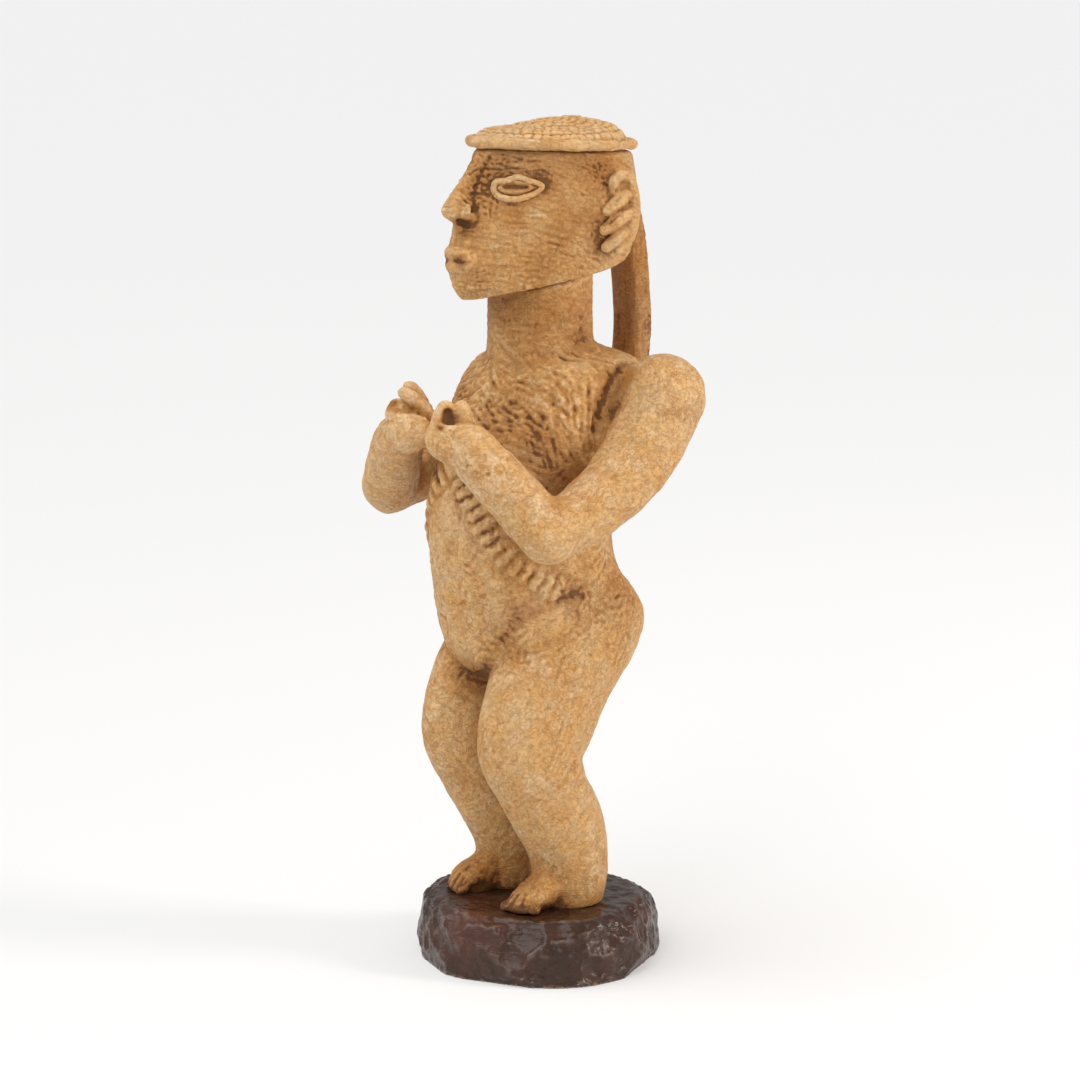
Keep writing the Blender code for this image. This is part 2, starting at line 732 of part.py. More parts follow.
# ---------------------------------------------------------------- assembly
def build():
    base = plinth()
    body = trunk_and_legs()
    trunk_form("trunk_block", cutters, grow=GAP)
    head_form("head_block", cutters, grow=GAP)
    top = head()
    combine(body["trunk"], jaw_slab("above_jaw", GAP, under=False), "DIFFERENCE")
    cap()
    plait()
    for side, word in ((1, "left"), (-1, "right")):
        eye_rim(word, side)
        ear(word, side)
        limb = arm(word, side)
        leg = body[f"{word}_leg"]
        foot = Vector((side * LEG_SPACING / 2, FOOT_DOWEL_Y, PLINTH_HEIGHT))
        dowel(f"{word}_foot_dowel", foot, (0, 0, 1), FOOT_DOWEL_LENGTH, (base, leg))
        middle, turn = hip_plane(side)
        axis = turn @ Vector((0, 0, 1))
        dowel(f"{word}_hip_dowel", middle, axis, HIP_DOWEL_LENGTH, (leg, body["trunk"]))
        joint = ARM_POINTS[word]["shoulder"]
        spot = Vector((side * (joint.x - SHOULDER_DOWEL_INSET), joint.y, CROTCH + joint.z))
        dowel(
            f"{word}_shoulder_dowel", spot, (1, 0, 0), SHOULDER_DOWEL_LENGTH, (body["trunk"], limb)
        )
    spot = (0, NECK_DOWEL_Y, JAW)
    dowel("neck_dowel", spot, (0, 0, 1), NECK_DOWEL_LENGTH, (body["trunk"], top))


build()
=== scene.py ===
# %% [markdown]
# # A pale doll on a dark plinth
#
# The real object is a standing figure a third of a metre tall. Its maker shaped a pale body, pressed
# and scored the skin while it was soft, laid coils on it for the eyes and the cap's brim, rubbed a
# brown wash into every hollow, and stood it on a rough block painted glossy brown.
#
# The plain solids of the parts are loaded first, as a fixed frame. Each cell then turns one of them
# into the finished piece, in the order a sculptor would: rough mass, soft joins, cuts, paint.

import json
import math

import bpy
import numpy as np
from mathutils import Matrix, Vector
from mathutils.bvhtree import BVHTree

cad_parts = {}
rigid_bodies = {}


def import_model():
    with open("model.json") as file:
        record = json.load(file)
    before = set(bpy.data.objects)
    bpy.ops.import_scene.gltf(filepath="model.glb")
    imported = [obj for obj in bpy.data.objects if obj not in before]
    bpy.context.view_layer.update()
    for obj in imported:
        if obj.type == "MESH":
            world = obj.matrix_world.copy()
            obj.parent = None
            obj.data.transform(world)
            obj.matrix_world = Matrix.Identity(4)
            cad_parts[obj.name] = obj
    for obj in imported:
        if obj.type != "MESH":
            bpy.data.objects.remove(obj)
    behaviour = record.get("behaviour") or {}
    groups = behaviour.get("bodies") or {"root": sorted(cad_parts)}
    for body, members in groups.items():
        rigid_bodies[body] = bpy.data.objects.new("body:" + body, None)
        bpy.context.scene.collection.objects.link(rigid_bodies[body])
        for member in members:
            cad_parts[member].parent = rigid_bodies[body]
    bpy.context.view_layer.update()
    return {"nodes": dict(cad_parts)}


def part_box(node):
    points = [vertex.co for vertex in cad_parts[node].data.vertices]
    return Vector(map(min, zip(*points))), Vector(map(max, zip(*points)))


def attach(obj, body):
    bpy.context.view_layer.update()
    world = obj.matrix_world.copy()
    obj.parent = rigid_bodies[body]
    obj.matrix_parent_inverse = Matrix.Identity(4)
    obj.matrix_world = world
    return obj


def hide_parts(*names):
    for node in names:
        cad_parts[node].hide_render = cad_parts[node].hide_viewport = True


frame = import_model()
MM = 0.001
print("solids:", ", ".join(sorted(frame["nodes"])))

# %% [markdown]
# The camera stands level with the figure's chest, at its front left, a pace and a half away, and looks
# slightly down. A long lens keeps the figure's proportions as the eye sees them across a room.

# %% Camera
CAMERA_TURN = math.radians(52)  # round to the figure's left
CAMERA_PITCH = math.radians(10.09)  # downwards
CAMERA_DISTANCE = 1.40
CAMERA_HEIGHT = 0.415

lens = bpy.data.cameras.new("camera")
lens.sensor_width = 36.0
lens.lens = 121.5
lens.clip_end = 100.0
camera = bpy.data.objects.new("camera", lens)
bpy.context.scene.collection.objects.link(camera)
camera.location = (
    CAMERA_DISTANCE * math.sin(CAMERA_TURN),
    -CAMERA_DISTANCE * math.cos(CAMERA_TURN),
    CAMERA_HEIGHT,
)
camera.rotation_euler = (math.pi / 2 - CAMERA_PITCH, 0.0, CAMERA_TURN)
bpy.context.scene.camera = camera
bpy.context.scene.view_settings.view_transform = "Standard"
print("camera at", [round(v, 3) for v in camera.location])

# %% [markdown]
# A few small helpers carry most of the work. The first leaves exactly the named pieces selected,
# because an operator acts on all that is selected. The second adds a modifier, sets it up and applies
# it, so that a finished piece is plain mesh. The last ties a finished piece to its plain solid.


# %% Selecting and modifying
def only(*pieces):
    bpy.ops.object.select_all(action="DESELECT")
    for piece in pieces:
        piece.select_set(True)
    bpy.context.view_layer.objects.active = pieces[0]


def modify(piece, kind, **settings):
    only(piece)
    modifier = piece.modifiers.new(kind.title(), kind)
    for setting, value in settings.items():
        setattr(modifier, setting, value)
    bpy.ops.object.modifier_apply(modifier=modifier.name)


def added(name):
    """The primitive that was just added, named, with its place moved into its mesh."""
    piece = bpy.context.object
    piece.name = name
    bpy.ops.object.transform_apply(location=True, rotation=True, scale=True)
    return piece


def weld(piece, distance=1e-6):
    only(piece)
    bpy.ops.object.mode_set(mode="EDIT")
    bpy.ops.mesh.select_all(action="SELECT")
    bpy.ops.mesh.remove_doubles(threshold=distance)
    bpy.ops.mesh.normals_make_consistent(inside=False)
    bpy.ops.object.mode_set(mode="OBJECT")


def joined(name, pieces):
    only(*pieces)
    if len(pieces) > 1:
        bpy.ops.object.join()
    piece = bpy.context.object
    piece.name = name
    return piece


def copies(name, nodes):
    """One rough mass from copies of plain solids. The solids themselves are never touched."""
    made = []
    for node in nodes:
        twin = bpy.data.objects.new(node + "_copy", frame["nodes"][node].data.copy())
        twin.data.materials.clear()
        bpy.context.scene.collection.objects.link(twin)
        made.append(twin)
    mass = joined(name, made)
    weld(mass)
    return mass


def lump(name, middle, radii, turn=(0, 0, 0)):
    """A ball pressed to an ellipsoid, in millimetres, to be pressed into a larger mass."""
    bpy.ops.mesh.primitive_uv_sphere_add(
        segments=24,
        ring_count=16,
        radius=MM,
        location=[v * MM for v in middle],
        rotation=[math.radians(v) for v in turn],
        scale=radii,
    )
    return added(name)


def roll(name, path, radii):
    """A rolled coil of soft material along a path, both in millimetres, with round ends."""
    made = []
    fine = smooth_path(path, 4)
    thick = np.interp(np.linspace(0, 1, len(fine)), np.linspace(0, 1, len(radii)), radii)
    for i, (middle, radius) in enumerate(zip(fine, thick)):
        made.append(lump(f"{name}_{i}", middle, (radius,) * 3))
    return joined(name, made)


def smooth_path(path, steps):
    """A smooth curve through the points of a path."""
    knots = [np.array(p, float) for p in path]
    fine = []
    for i in range(len(knots) - 1):
        a, b, c, d = (knots[min(len(knots) - 1, max(0, i + k))] for k in (-1, 0, 1, 2))
        for step in range(steps):
            t = step / steps
            bend = (c - a) * t + (2 * a - 5 * b + 4 * c - d) * t**2 + (3 * b - a - 3 * c + d) * t**3
            fine.append(b + bend / 2)
    fine.append(knots[-1])
    return np.array(fine)


def remesh(piece, size):
    """Fuses a mass into one even skin and drops any small shell left inside it."""
    modify(piece, "REMESH", mode="VOXEL", voxel_size=size)
    only(piece)
    bpy.ops.object.mode_set(mode="EDIT")
    bpy.ops.mesh.select_all(action="SELECT")
    bpy.ops.mesh.separate(type="LOOSE")
    bpy.ops.object.mode_set(mode="OBJECT")
    shells = sorted(bpy.context.selected_objects, key=lambda o: len(o.data.vertices))
    keep = shells.pop()
    for shell in shells:
        bpy.data.objects.remove(shell)
    only(keep)
    return keep


def rough(solid, cube, swell=0.0):
    """A copy of one plain solid, swollen if need be, as an even skin to be worked on as clay."""
    piece = copies(solid + "_skin", [solid])
    if swell:
        modify(piece, "DISPLACE", strength=swell, mid_level=0.0)
    piece = remesh(piece, cube)
    piece.name = solid + "_skin"
    return piece


def finished(piece, solid):
    """Smooth shading, the piece hung on the root body, and its plain solid hidden."""
    only(piece)
    bpy.ops.object.shade_smooth()
    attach(piece, "root")
    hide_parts(solid)
    print(piece.name, len(piece.data.polygons), "faces")


# %% [markdown]
# A skin of a hundred thousand points is too fine to push about by hand, so it is held as arrays of
# points and normals, like a sculptor's clay. A brush stroke is then a line of arithmetic: a distance
# to a point or a path, and a push in or out along the normals. Reading the mesh again after each
# stage keeps the normals true.


# %% Clay
class Clay:
    def __init__(self, piece):
        self.piece = piece
        self.read()

    def read(self):
        mesh = self.piece.data
        count = len(mesh.vertices)
        flat = np.empty(count * 3)
        mesh.vertices.foreach_get("co", flat)
        self.points = flat.reshape(-1, 3) / MM
        mesh.vertices.foreach_get("normal", flat)
        self.normals = flat.reshape(-1, 3).copy()
        self.edges = np.empty(len(mesh.edges) * 2, np.int32)
        mesh.edges.foreach_get("vertices", self.edges)
        self.edges = self.edges.reshape(-1, 2)
        self.links = np.bincount(self.edges.ravel(), minlength=count).clip(1)

    def push(self, amount):
        """Moves the skin along its normals, outwards where amount is positive, in millimetres."""
        self.points += self.normals * amount[:, None]
        self.write()

    def write(self):
        self.piece.data.vertices.foreach_set("co", (self.points * MM).ravel())
        self.piece.data.update()
        self.read()

    def spread(self, values, rounds):
        """Values averaged with those of their neighbours, again and again."""
        a, b = self.edges.T
        for _ in range(rounds):
            total = np.bincount(a, values[b], len(values)) + np.bincount(b, values[a], len(values))
            values = 0.5 * values + 0.5 * total / self.links
        return values

    def relax(self, rounds, weight=1.0):
        """Smooths the skin, where weight is above nought."""
        soft = np.stack([self.spread(self.points[:, k], rounds) for k in range(3)], axis=1)
        self.points += (soft - self.points) * np.broadcast_to(weight, len(soft))[:, None]
        self.write()

    def hollows(self, rounds):
        """How far each point lies under the smoothed skin: above nought in a hollow."""
        soft = np.stack([self.spread(self.points[:, k], rounds) for k in range(3)], axis=1)
        return ((soft - self.points) * self.normals).sum(axis=1)

    def store(self, name, values):
        layer = self.piece.data.attributes.get(name)
        if layer is None:
            layer = self.piece.data.attributes.new(name, "FLOAT", "POINT")
        layer.data.foreach_set("value", values.astype(np.float32))


def near(points, middle, radius):
    """1 at a point, falling smoothly to 0 at about twice the radius."""
    away = ((points - np.array(middle)) ** 2).sum(axis=1)
    return np.exp(-away / radius**2)


def beside(points, path, steps=6, reach=15):
    """Each point's distance from a path, the distance along the path, and the path's nearest place."""
    fine = smooth_path(path, steps)
    start, run = fine[:-1], np.diff(fine, axis=0)
    length = np.sqrt((run**2).sum(axis=1))
    passed = np.concatenate(([0.0], np.cumsum(length)))
    best = np.full(len(points), 1e9)
    along = np.zeros(len(points))
    place = np.zeros((len(points), 3))
    heading = np.zeros((len(points), 3))
    low, high = fine.min(axis=0) - reach, fine.max(axis=0) + reach
    close = np.flatnonzero(((points > low) & (points < high)).all(axis=1))
    around = points[close]
    for i in range(len(run)):
        t = ((around - start[i]) @ run[i] / length[i] ** 2).clip(0, 1)
        foot = start[i] + t[:, None] * run[i]
        away = np.sqrt(((around - foot) ** 2).sum(axis=1))
        closer = away < best[close]
        chosen = close[closer]
        best[chosen] = away[closer]
        along[chosen] = passed[i] + t[closer] * length[i]
        place[chosen] = foot[closer]
        heading[chosen] = run[i] / length[i]
    return best, along, place, heading, passed[-1]


def valley(points, path, width):
    """1 on a path, falling to 0 to both sides."""
    return np.exp(-((beside(points, path)[0] / width) ** 2))


def lumps(clay, rounds, seed):
    """Random swellings over the whole skin; the more rounds, the wider they are. About -2 to 2."""
    made = clay.spread(np.random.default_rng(seed).normal(0, 1, len(clay.points)), rounds)
    return made / made.std()


def mirrored(path):
    return [(-x, y, z) for x, y, z in path]


def scores(clay, where, count, seed, length, width, depth, lean, wander=0.3):
    """Short cuts of a modelling tool. lean gives each one's angle from level, from its place."""
    dice = np.random.default_rng(seed)
    chosen = dice.choice(len(clay.points), count, p=where / where.sum())
    change = np.zeros(len(clay.points))
    points = clay.points
    rising = np.argsort(points[:, 2])
    heights = points[rising, 2]
    for i in chosen:
        middle, normal = points[i], clay.normals[i]
        level = np.cross((0, 0, 1), normal)
        level /= np.linalg.norm(level) + 1e-9
        rise = np.cross(normal, level)
        angle = lean(middle) + dice.normal(0, wander)
        heading = level * math.cos(angle) + rise * math.sin(angle)
        half = dice.uniform(*length) / 2
        wide = dice.uniform(*width)
        reach = half + 3 * wide
        low, high = np.searchsorted(heights, (middle[2] - reach, middle[2] + reach))
        close = rising[low:high]
        close = close[(np.abs(points[close] - middle) < reach).all(axis=1)]
        offset = points[close] - middle
        along = (offset @ heading).clip(-half, half)
        away = np.sqrt(((offset - along[:, None] * heading) ** 2).sum(axis=1))
        taper = 1 - (along / (half + 1e-9)) ** 4 * 0.5
        cut = np.exp(-((away / wide) ** 2)) - 0.35 * np.exp(-(((away - 2 * wide) / wide) ** 2))
        change[close] -= dice.uniform(*depth) * taper * cut
    return change


# %% [markdown]
# The body comes from one mass, although it is five solids: trunk, arms and legs are pressed together,
# so that skin runs over the joints with no line. The solids stand three tenths of a millimetre apart,
# so each is first swollen by that much, and the dowels plug their own holes. The hands begin again:
# the plain fingers are cut off, and rolled coils are pressed on in their place, each hand's own way.
# Remeshing with small cubes makes one even skin of it all.

# %% Rough body
LIMBS = ("left_arm", "right_arm", "left_leg", "right_leg")
BODY_CUBE = 0.65 * MM
GAP = 0.3 * MM  # the space between two plain solids
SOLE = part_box("left_leg")[0].z / MM

arms = copies("arms", ["left_arm", "right_arm"])
bpy.ops.mesh.primitive_cube_add(size=1, location=(0, -0.055, 0.235), scale=(0.08, 0.04, 0.032))
finger_cut = added("finger_cut")
modify(arms, "BOOLEAN", operation="DIFFERENCE", solver="EXACT", object=finger_cut)
bpy.data.objects.remove(finger_cut)

pegs = [n for n in frame["nodes"] if n.endswith("dowel") and n != "neck_dowel"]
rest = copies("rest", ["trunk", "left_leg", "right_leg", *pegs])
body = joined("body", [rest, arms])
modify(body, "DISPLACE", strength=GAP, mid_level=0.0)

extra = [
    # the left hand: a curled finger and thumb about a hollow, and the back of the hand beside it
    roll("left_curl", [(15.6, -62.0, 215.5), (16.0, -61.6, 221), (16.4, -59.4, 225.4),
                       (17.0, -56.6, 225.4), (17.4, -54.6, 221.5)], (2.4, 2.0, 1.9, 1.9, 1.6)),
    roll("left_back", [(19, -50.6, 208), (18.6, -50.2, 216), (18.0, -51.4, 224.0)], (5.4, 4.5, 3.3)),
    lump("left_palm", (16.0, -57.8, 212.8), (5.6, 5.4, 8.2), (-18, 0, 0)),
    lump("left_fill", (15.2, -57.6, 220.8), (2.8, 2.8, 3.0)),
    # the right hand: two fingers laid across the top of the palm
    roll("right_near", [(-12.0, -56.6, 227.2), (-11.8, -52.8, 225.0), (-12.0, -46.8, 220.4),
                        (-13.0, -42.4, 216.4)], (2.5, 2.9, 3.0, 2.6)),
    roll("right_far", [(-17.4, -50.8, 228.8), (-17.6, -48.0, 227.6), (-18, -43.8, 222.6),
                       (-18, -40.5, 217.6)], (2.2, 2.6, 2.8, 2.8)),
    lump("right_fill", (-15.5, -53.0, 221.0), (3.2, 4.6, 3.6)),
    roll("right_heel", [(-17.6, -58.4, 218.6), (-18, -55.4, 221.2)], (2.6, 3.4)),
    lump("right_palm", (-13.4, -51.8, 212.0), (6.4, 9.6, 8.2), (30, 0, 0)),
]
for side in (1, -1):
    extra.append(lump("instep", (side * 17.0, -15, 28.0), (5.6, 12, 6.4), (22, 0, side * 6)))
    extra.append(lump("heel", (side * 18.0, 3, 29), (9.8, 13, 9)))
    extra.append(lump("hip_filler", (side * 18.0, 0, 128), (13, 22, 12)))
body = joined("body", [body, *extra])
body = remesh(body, BODY_CUBE)
clay = Clay(body)
print("body points:", len(clay.points))

# %% [markdown]
# Where two masses meet there is still a hard crease. A sculptor draws a wet thumb over the top of the
# shoulder and the hip and leaves the armpit and the groin sharp, so the smoothing is strong at the
# joints and light elsewhere. The rough mass's flats are worked away over the trunk and limbs too, but
# not at the hands and feet, which are small enough to lose.

# %% Soft joins
clay.relax(4)
x, y, z = clay.points.T
side = np.where(x > 0, 1.0, -1.0)
fold = np.stack([abs(x), y, z], axis=1)  # both sides brought to the left
thumbed = (
    near(fold, (30, 20, 240), 15)
    + near(fold, (0, 2, 243), 24)
    + near(fold, (18, 22, 148), 24)
    + near(fold, (33, 5, 150), 16)
    + near(fold, (18, -40, 95), 12)
).clip(0, 1)
clay.relax(70, thumbed)
clay.relax(90, near(fold, (18, -17, 35), 8).clip(0, 1))
small = ((z < 42) | ((y < -44) & (z > 203))).astype(float)
clay.relax(26, 1 - clay.spread(small, 10).clip(0, 1))
clay.points[:, 2] = np.maximum(clay.points[:, 2], SOLE)
clay.write()
print("soft joins done")

# %% [markdown]
# The row of pads down each side of the belly was pressed with the side of a stick: a band as wide as
# a finger, from the breastbone round to the hip, cut across at even steps. Each pad swells between its
# two cuts, and no two are quite the same length or height. The band's middle line is given by a few
# places and laid onto the skin.

# %% Rib bands
RIBS = [
    (1.5, -42.6, 200.5), (7.9, -43.3, 192.9), (14.8, -42.8, 183.3), (19.5, -40.7, 175.3),
    (23.2, -35.9, 167.2), (26.9, -29.7, 161.2), (30.1, -21.1, 155.7), (31.7, -12.7, 151.5),
]
PAD_PITCH = 5.0
BAND_HALF = 4.9


def skin_path(path):
    """A path with each of its places moved onto the skin."""
    tree = BVHTree.FromPolygons(
        [Vector(p) for p in clay.points], [tuple(f.vertices) for f in clay.piece.data.polygons]
    )
    return [tuple(tree.find_nearest(Vector(p))[0]) for p in path]


def rib_band(path, seed):
    dice = np.random.default_rng(seed)
    away, along, place, heading, total = beside(clay.points, path)
    sideways = ((clay.points - place) * np.cross(heading, clay.normals)).sum(axis=1)
    number = np.floor(along / PAD_PITCH).astype(int)
    tall = dice.uniform(0.75, 1.25, 40)[number]
    wide = BAND_HALF * dice.uniform(0.86, 1.1, 40)[number]
    shift = dice.uniform(-0.9, 0.9, 40)[number]
    phase = along / PAD_PITCH - number - 0.5
    pad = np.abs(np.cos(math.pi * (phase + 0.02 * sideways * (tall - 1)))) ** 0.6
    round_end = (1 - (np.abs(sideways + shift) / (wide + 0.6)).clip(0, 1) ** 4)
    inside = 1 / (1 + np.exp((np.abs(sideways + shift) - wide) / 0.5))
    ends = ((away < 12) & (along > 0.5) & (along < total - 0.5)).astype(float)
    edge = np.exp(-(((np.abs(sideways) - BAND_HALF - 1.4) / 1.8) ** 2))
    return ends * (inside * (0.95 * pad * tall * round_end - 0.5 * (1 - pad)) - 0.32 * edge * tall)


near_ribs = skin_path(RIBS)
far_ribs = skin_path(mirrored(RIBS))
ribs = rib_band(near_ribs, 3) + rib_band(far_ribs, 4)
ribs *= 1 - clay.spread(((y < -46) & (z > 203)).astype(float), 6)
clay.push(ribs)
print("rib bands:", round(float(ribs.min()), 2), "to", round(float(ribs.max()), 2), "mm")

# %% [markdown]
# Deep creases are drawn with the edge of a tool: the groin, from the hip down between the thighs, the
# armpit, the back of the knee, the cleft behind and the line of the spine. The hands get the hollows
# inside the curled fingers and the lines between the fingers, and the feet the cuts between the toes.

# %% Creases
CREASES = [  # path on the left side, half width, depth
    ([(33.5, -6, 151), (31.6, -15, 148.6), (29.2, -22.8, 144.5), (25.5, -29.6, 140.9),
      (20.7, -34.1, 133.7), (14.1, -35.3, 124.9), (6, -33, 117.5), (0, -30, 114)], 2.6, 0.8),
    ([(30.6, 17.4, 237.4), (35.8, 6.8, 232.7), (37.1, 1.4, 224.8), (37, -2, 214)], 1.5, 1.2),
    ([(6, 24, 118), (14, 31, 121), (22, 29, 124)], 2.6, 0.8),
    ([(27, -3, 84.6), (20, 0, 84), (12, -3, 84.4)], 2.4, 0.9),
]
MIDLINE = [  # paths on the middle plane
    ([(0, 42, 166), (0, 45, 150), (0, 41, 132), (0, 28, 116)], 3.0, 2.0),
    ([(0, 25, 236), (0, 22, 215), (0, 22, 190), (0, 30, 168)], 3.4, 1.1),
]
cut = np.zeros(len(clay.points))
for path, width, depth in CREASES:
    for line in (skin_path(path), skin_path(mirrored(path))):
        cut -= depth * valley(clay.points, line, width)
for path, width, depth in MIDLINE:
    cut -= depth * valley(clay.points, skin_path(path), width)
for step in range(2):
    clay.push(cut / 2)

HAND_CUTS = [  # path, half width, depth
    ([(19.5, -57.6, 218.4), (18.5, -58.0, 223.0)], 1.6, 1.6),
    ([(19, -62.6, 218.5), (20.5, -60.0, 214.8), (21.5, -58, 212.5)], 0.8, 1.2),
    ([(19.0, -46, 214), (23, -50, 208), (23, -56, 204)], 1.1, 0.8),
    ([(-10.5, -57.8, 222.6), (-9.5, -53, 220.6), (-9.6, -46, 216)], 0.8, 1.4),
    ([(-13.6, -59.2, 222.4), (-16.8, -57.6, 224.6)], 1.2, 1.8),
    ([(-14.6, -52.6, 228), (-14.6, -47.2, 224.2), (-15.4, -42, 219)], 0.9, 1.6),
    ([(-7.4, -56, 214), (-7.2, -50, 216.6)], 0.7, 0.45),
    ([(-7.4, -57, 210), (-7.2, -50, 212.6)], 0.7, 0.45),
    ([(-7.8, -55, 206), (-7.4, -49, 208.4)], 0.7, 0.45),
    ([(-15, -50, 202.6), (-10, -44.5, 206.4), (-13, -41, 211)], 1.0, 0.8),
]
cut = np.zeros(len(clay.points))
for path, width, depth in HAND_CUTS:
    cut -= depth * valley(clay.points, path, width)
for mirror in (1, -1):
    for toe in range(4):
        root = (12.4 + 3.3 * toe, -27.0 + 1.0 * toe, 31)
        tip = (12.4 + 4.0 * toe, -37.0 + 2.2 * toe, 28)
        foot = (12.4 + 4.0 * toe, -37.0 + 2.2 * toe, 25)
        line = skin_path([(mirror * a, b, c) for a, b, c in (root, tip, foot)])
        cut -= 0.95 * valley(clay.points, line, 0.6)
    cut -= 1.8 * near(clay.points, (mirror * 29.5, -27.5, 28), 5.5)
for step in range(2):
    clay.push(cut / 2)
clay.relax(2)
print("creases cut")

# %% [markdown]
# The chest is scored all over with the corner of a tool while the material is stiff: slanting strokes
# from the neck out and down, upright ones toward the armpit, and a few that cross. The belly and
# thighs are only dragged over with a coarse brush, which leaves long faint lines. Cuts are scattered
# by seeded dice, so that each build scores the same skin.

# %% Scored skin
x, y, z = clay.points.T
fold = np.stack([abs(x), y, z], axis=1)
trunk_skin = ((np.abs(x) < 37) & (y > -45) & (z > 112)).astype(float)
chest = trunk_skin * (z > 200) * (z < 243) * (y < 14)
chest = clay.spread(chest * np.exp(-(((z - 222) / 20) ** 2)), 8).clip(0, 1)


def slant(middle):
    """Out and down from the neck, and upright toward the armpit."""
    out = math.copysign(1.0, middle[0])
    turn = 0.55 + 0.9 * min(1.0, max(0.0, (abs(middle[0]) - 27) / 8))
    return -out * turn


def brushed(middle):
    """The way the brush went: over the hip and down the thigh."""
    return math.copysign(0.85, middle[0]) + 0.25 * math.sin(middle[2] / 14)


change = scores(clay, chest**2, 620, 11, (3, 12), (0.45, 0.9), (0.06, 0.32), slant, 0.28)
change += 0.08 * chest * lumps(clay, 5, 91) + 0.20 * chest * lumps(clay, 26, 92)
change += 0.045 * lumps(clay, 4, 93) + 0.09 * lumps(clay, 40, 94)
change += 0.14 * clay.spread((ribs > 0.2).astype(float), 5) * lumps(clay, 4, 95)
change += scores(clay, chest**2, 110, 10, (8, 18), (1.0, 1.8), (0.08, 0.26), slant, 0.16)
change += scores(clay, chest**2, 200, 12, (2, 5), (0.45, 0.8), (0.05, 0.28), lambda m: -slant(m), 0.6)
seams = near(fold, (20, -34, 133), 9) + near(fold, (31, -12, 149), 9) + near(fold, (10, -33, 121), 8)
change += scores(clay, seams, 150, 13, (2, 6), (0.45, 0.8), (0.06, 0.28), slant, 0.9)
belly = trunk_skin * (z > 125) * (z < 205) * (y < 20)
change += scores(clay, belly, 420, 14, (3, 9), (0.45, 0.8), (0.06, 0.22), lambda m: 0.1, 0.7)
thigh = ((z > 60) & (z < 165) & (np.abs(x) > 4)).astype(float)
change += scores(clay, thigh, 1100, 15, (7, 16), (0.5, 0.9), (0.02, 0.11), brushed, 0.16)
back = trunk_skin * (y > 5)
change += scores(clay, back, 700, 16, (5, 12), (0.5, 0.9), (0.03, 0.13), brushed, 0.5)
limbs = ((np.abs(x) > 37) | (y < -45)).astype(float) * (z > 160)
change += scores(clay, limbs, 620, 17, (2, 7), (0.45, 0.8), (0.03, 0.17), lambda m: 0.6, 0.8)
neck = ((z > 243) & (np.abs(x) < 26)).astype(float)
change += scores(clay, neck, 420, 19, (4, 12), (0.45, 0.8), (0.03, 0.13), lambda m: 0.05, 0.3)
shins = ((z < 70) & (z > 26)).astype(float)
change += scores(clay, shins, 420, 18, (4, 10), (0.5, 0.9), (0.03, 0.1), lambda m: 1.2, 0.4)

dice = np.random.default_rng(21)
for spot in dice.choice(len(clay.points), 90):
    change -= dice.uniform(0.3, 0.7) * near(clay.points, clay.points[spot], dice.uniform(0.45, 0.7))
clay.push(change.clip(-1.5, 0.5))
clay.relax(1)
clay.points[:, 2] = np.maximum(clay.points[:, 2], SOLE)
clay.write()
print("deepest cut:", round(float(-change.min()), 2), "mm")

# %% [markdown]
# The brown wash was brushed on thin and wiped off, so it stays wherever the skin is hollow. Each point
# of the skin gets a number for it: how deep it lies under the smoothed skin, on a fine, a middle and a
# broad scale, and more at listed spots, on the breastbone, in the groin and at the feet among them.
# The spots are partly wash and partly painted shade: those in the armpits, the crook of the elbow, on
# the chest behind the hands, in the groin and crotch, under the chin and inside the curled hand put
# dark where shade falls. The feet are darker toward their soles. The number travels with the mesh,
# and the paint reads it.

# %% Wash in the hollows
# Partly brown wash, partly painted shade in the armpits, groin and crotch, under the chin, and behind and
# inside the hands.
WASH_AND_SHADE_SPOTS = [  # place on the left side, radius, strength
    ((14.7, -30.7, 217.5), 12, 0.28),
    ((22, -22, 230), 13, 0.14),
    ((29.3, -22.9, 210.8), 9, 0.42),
    ((33.8, -16.8, 197), 9, 0.45),
    ((35.8, 6.8, 232.7), 8, 0.42),
    ((34, 2, 222), 7, 0.45),
    ((33.5, -8, 150), 6, 0.45),
    ((26, -28, 146), 7, 0.30),
    ((2, -30, 116), 9, 0.75),
    ((20, -34, 134), 7, 0.32),
    ((12, -37, 196), 9, 0.45),
    ((20, -41, 176), 7, 0.20),
    ((26, -31, 163), 7, 0.25),
    ((14, -20, 34), 9, 0.40),
    # Painted shade inside the curled left hand.
    ((18, -57.6, 221.8), 2.3, 1.0),
    ((14, -50, 222.5), 3, 0.45),
    ((23, -51, 207), 4, 0.25),
    ((14, -13, 256), 15, 0.38),
    ((20, 8, 258), 14, 0.18),
    ((19, 4, 247), 6, 0.40),
    ((44, -22, 166), 9, 0.44),
    ((51, -6, 186), 8, 0.24),
    ((2, -21, 262), 8, 0.30),
    ((29, 16, 142), 14, 0.22),
    ((17, -44, 92), 8, 0.12),
]


def stored_wash_and_shade(shape, spots=(), least=0.0, both=True):
    where = shape.points.copy()
    if both:
        where[:, 0] = np.abs(where[:, 0])
    fine = shape.hollows(3) / 0.12
    bled = shape.spread(fine.clip(0, 1.2), 5)
    middle = shape.hollows(14) / 0.45
    broad = shape.hollows(90) / 1.9
    wash = least + 0.14 * fine + 0.42 * bled
    wash = wash + 0.34 * middle.clip(-0.5, 1.2) + 0.34 * broad.clip(-0.5, 1.2)
    for place, radius, strength in spots:
        wash += 1.5 * strength * near(where, place, radius)
    shape.store("wash", wash.clip(-0.5, 1.5))
    return wash


wash = stored_wash_and_shade(clay, WASH_AND_SHADE_SPOTS)
x, y, z = clay.points.T
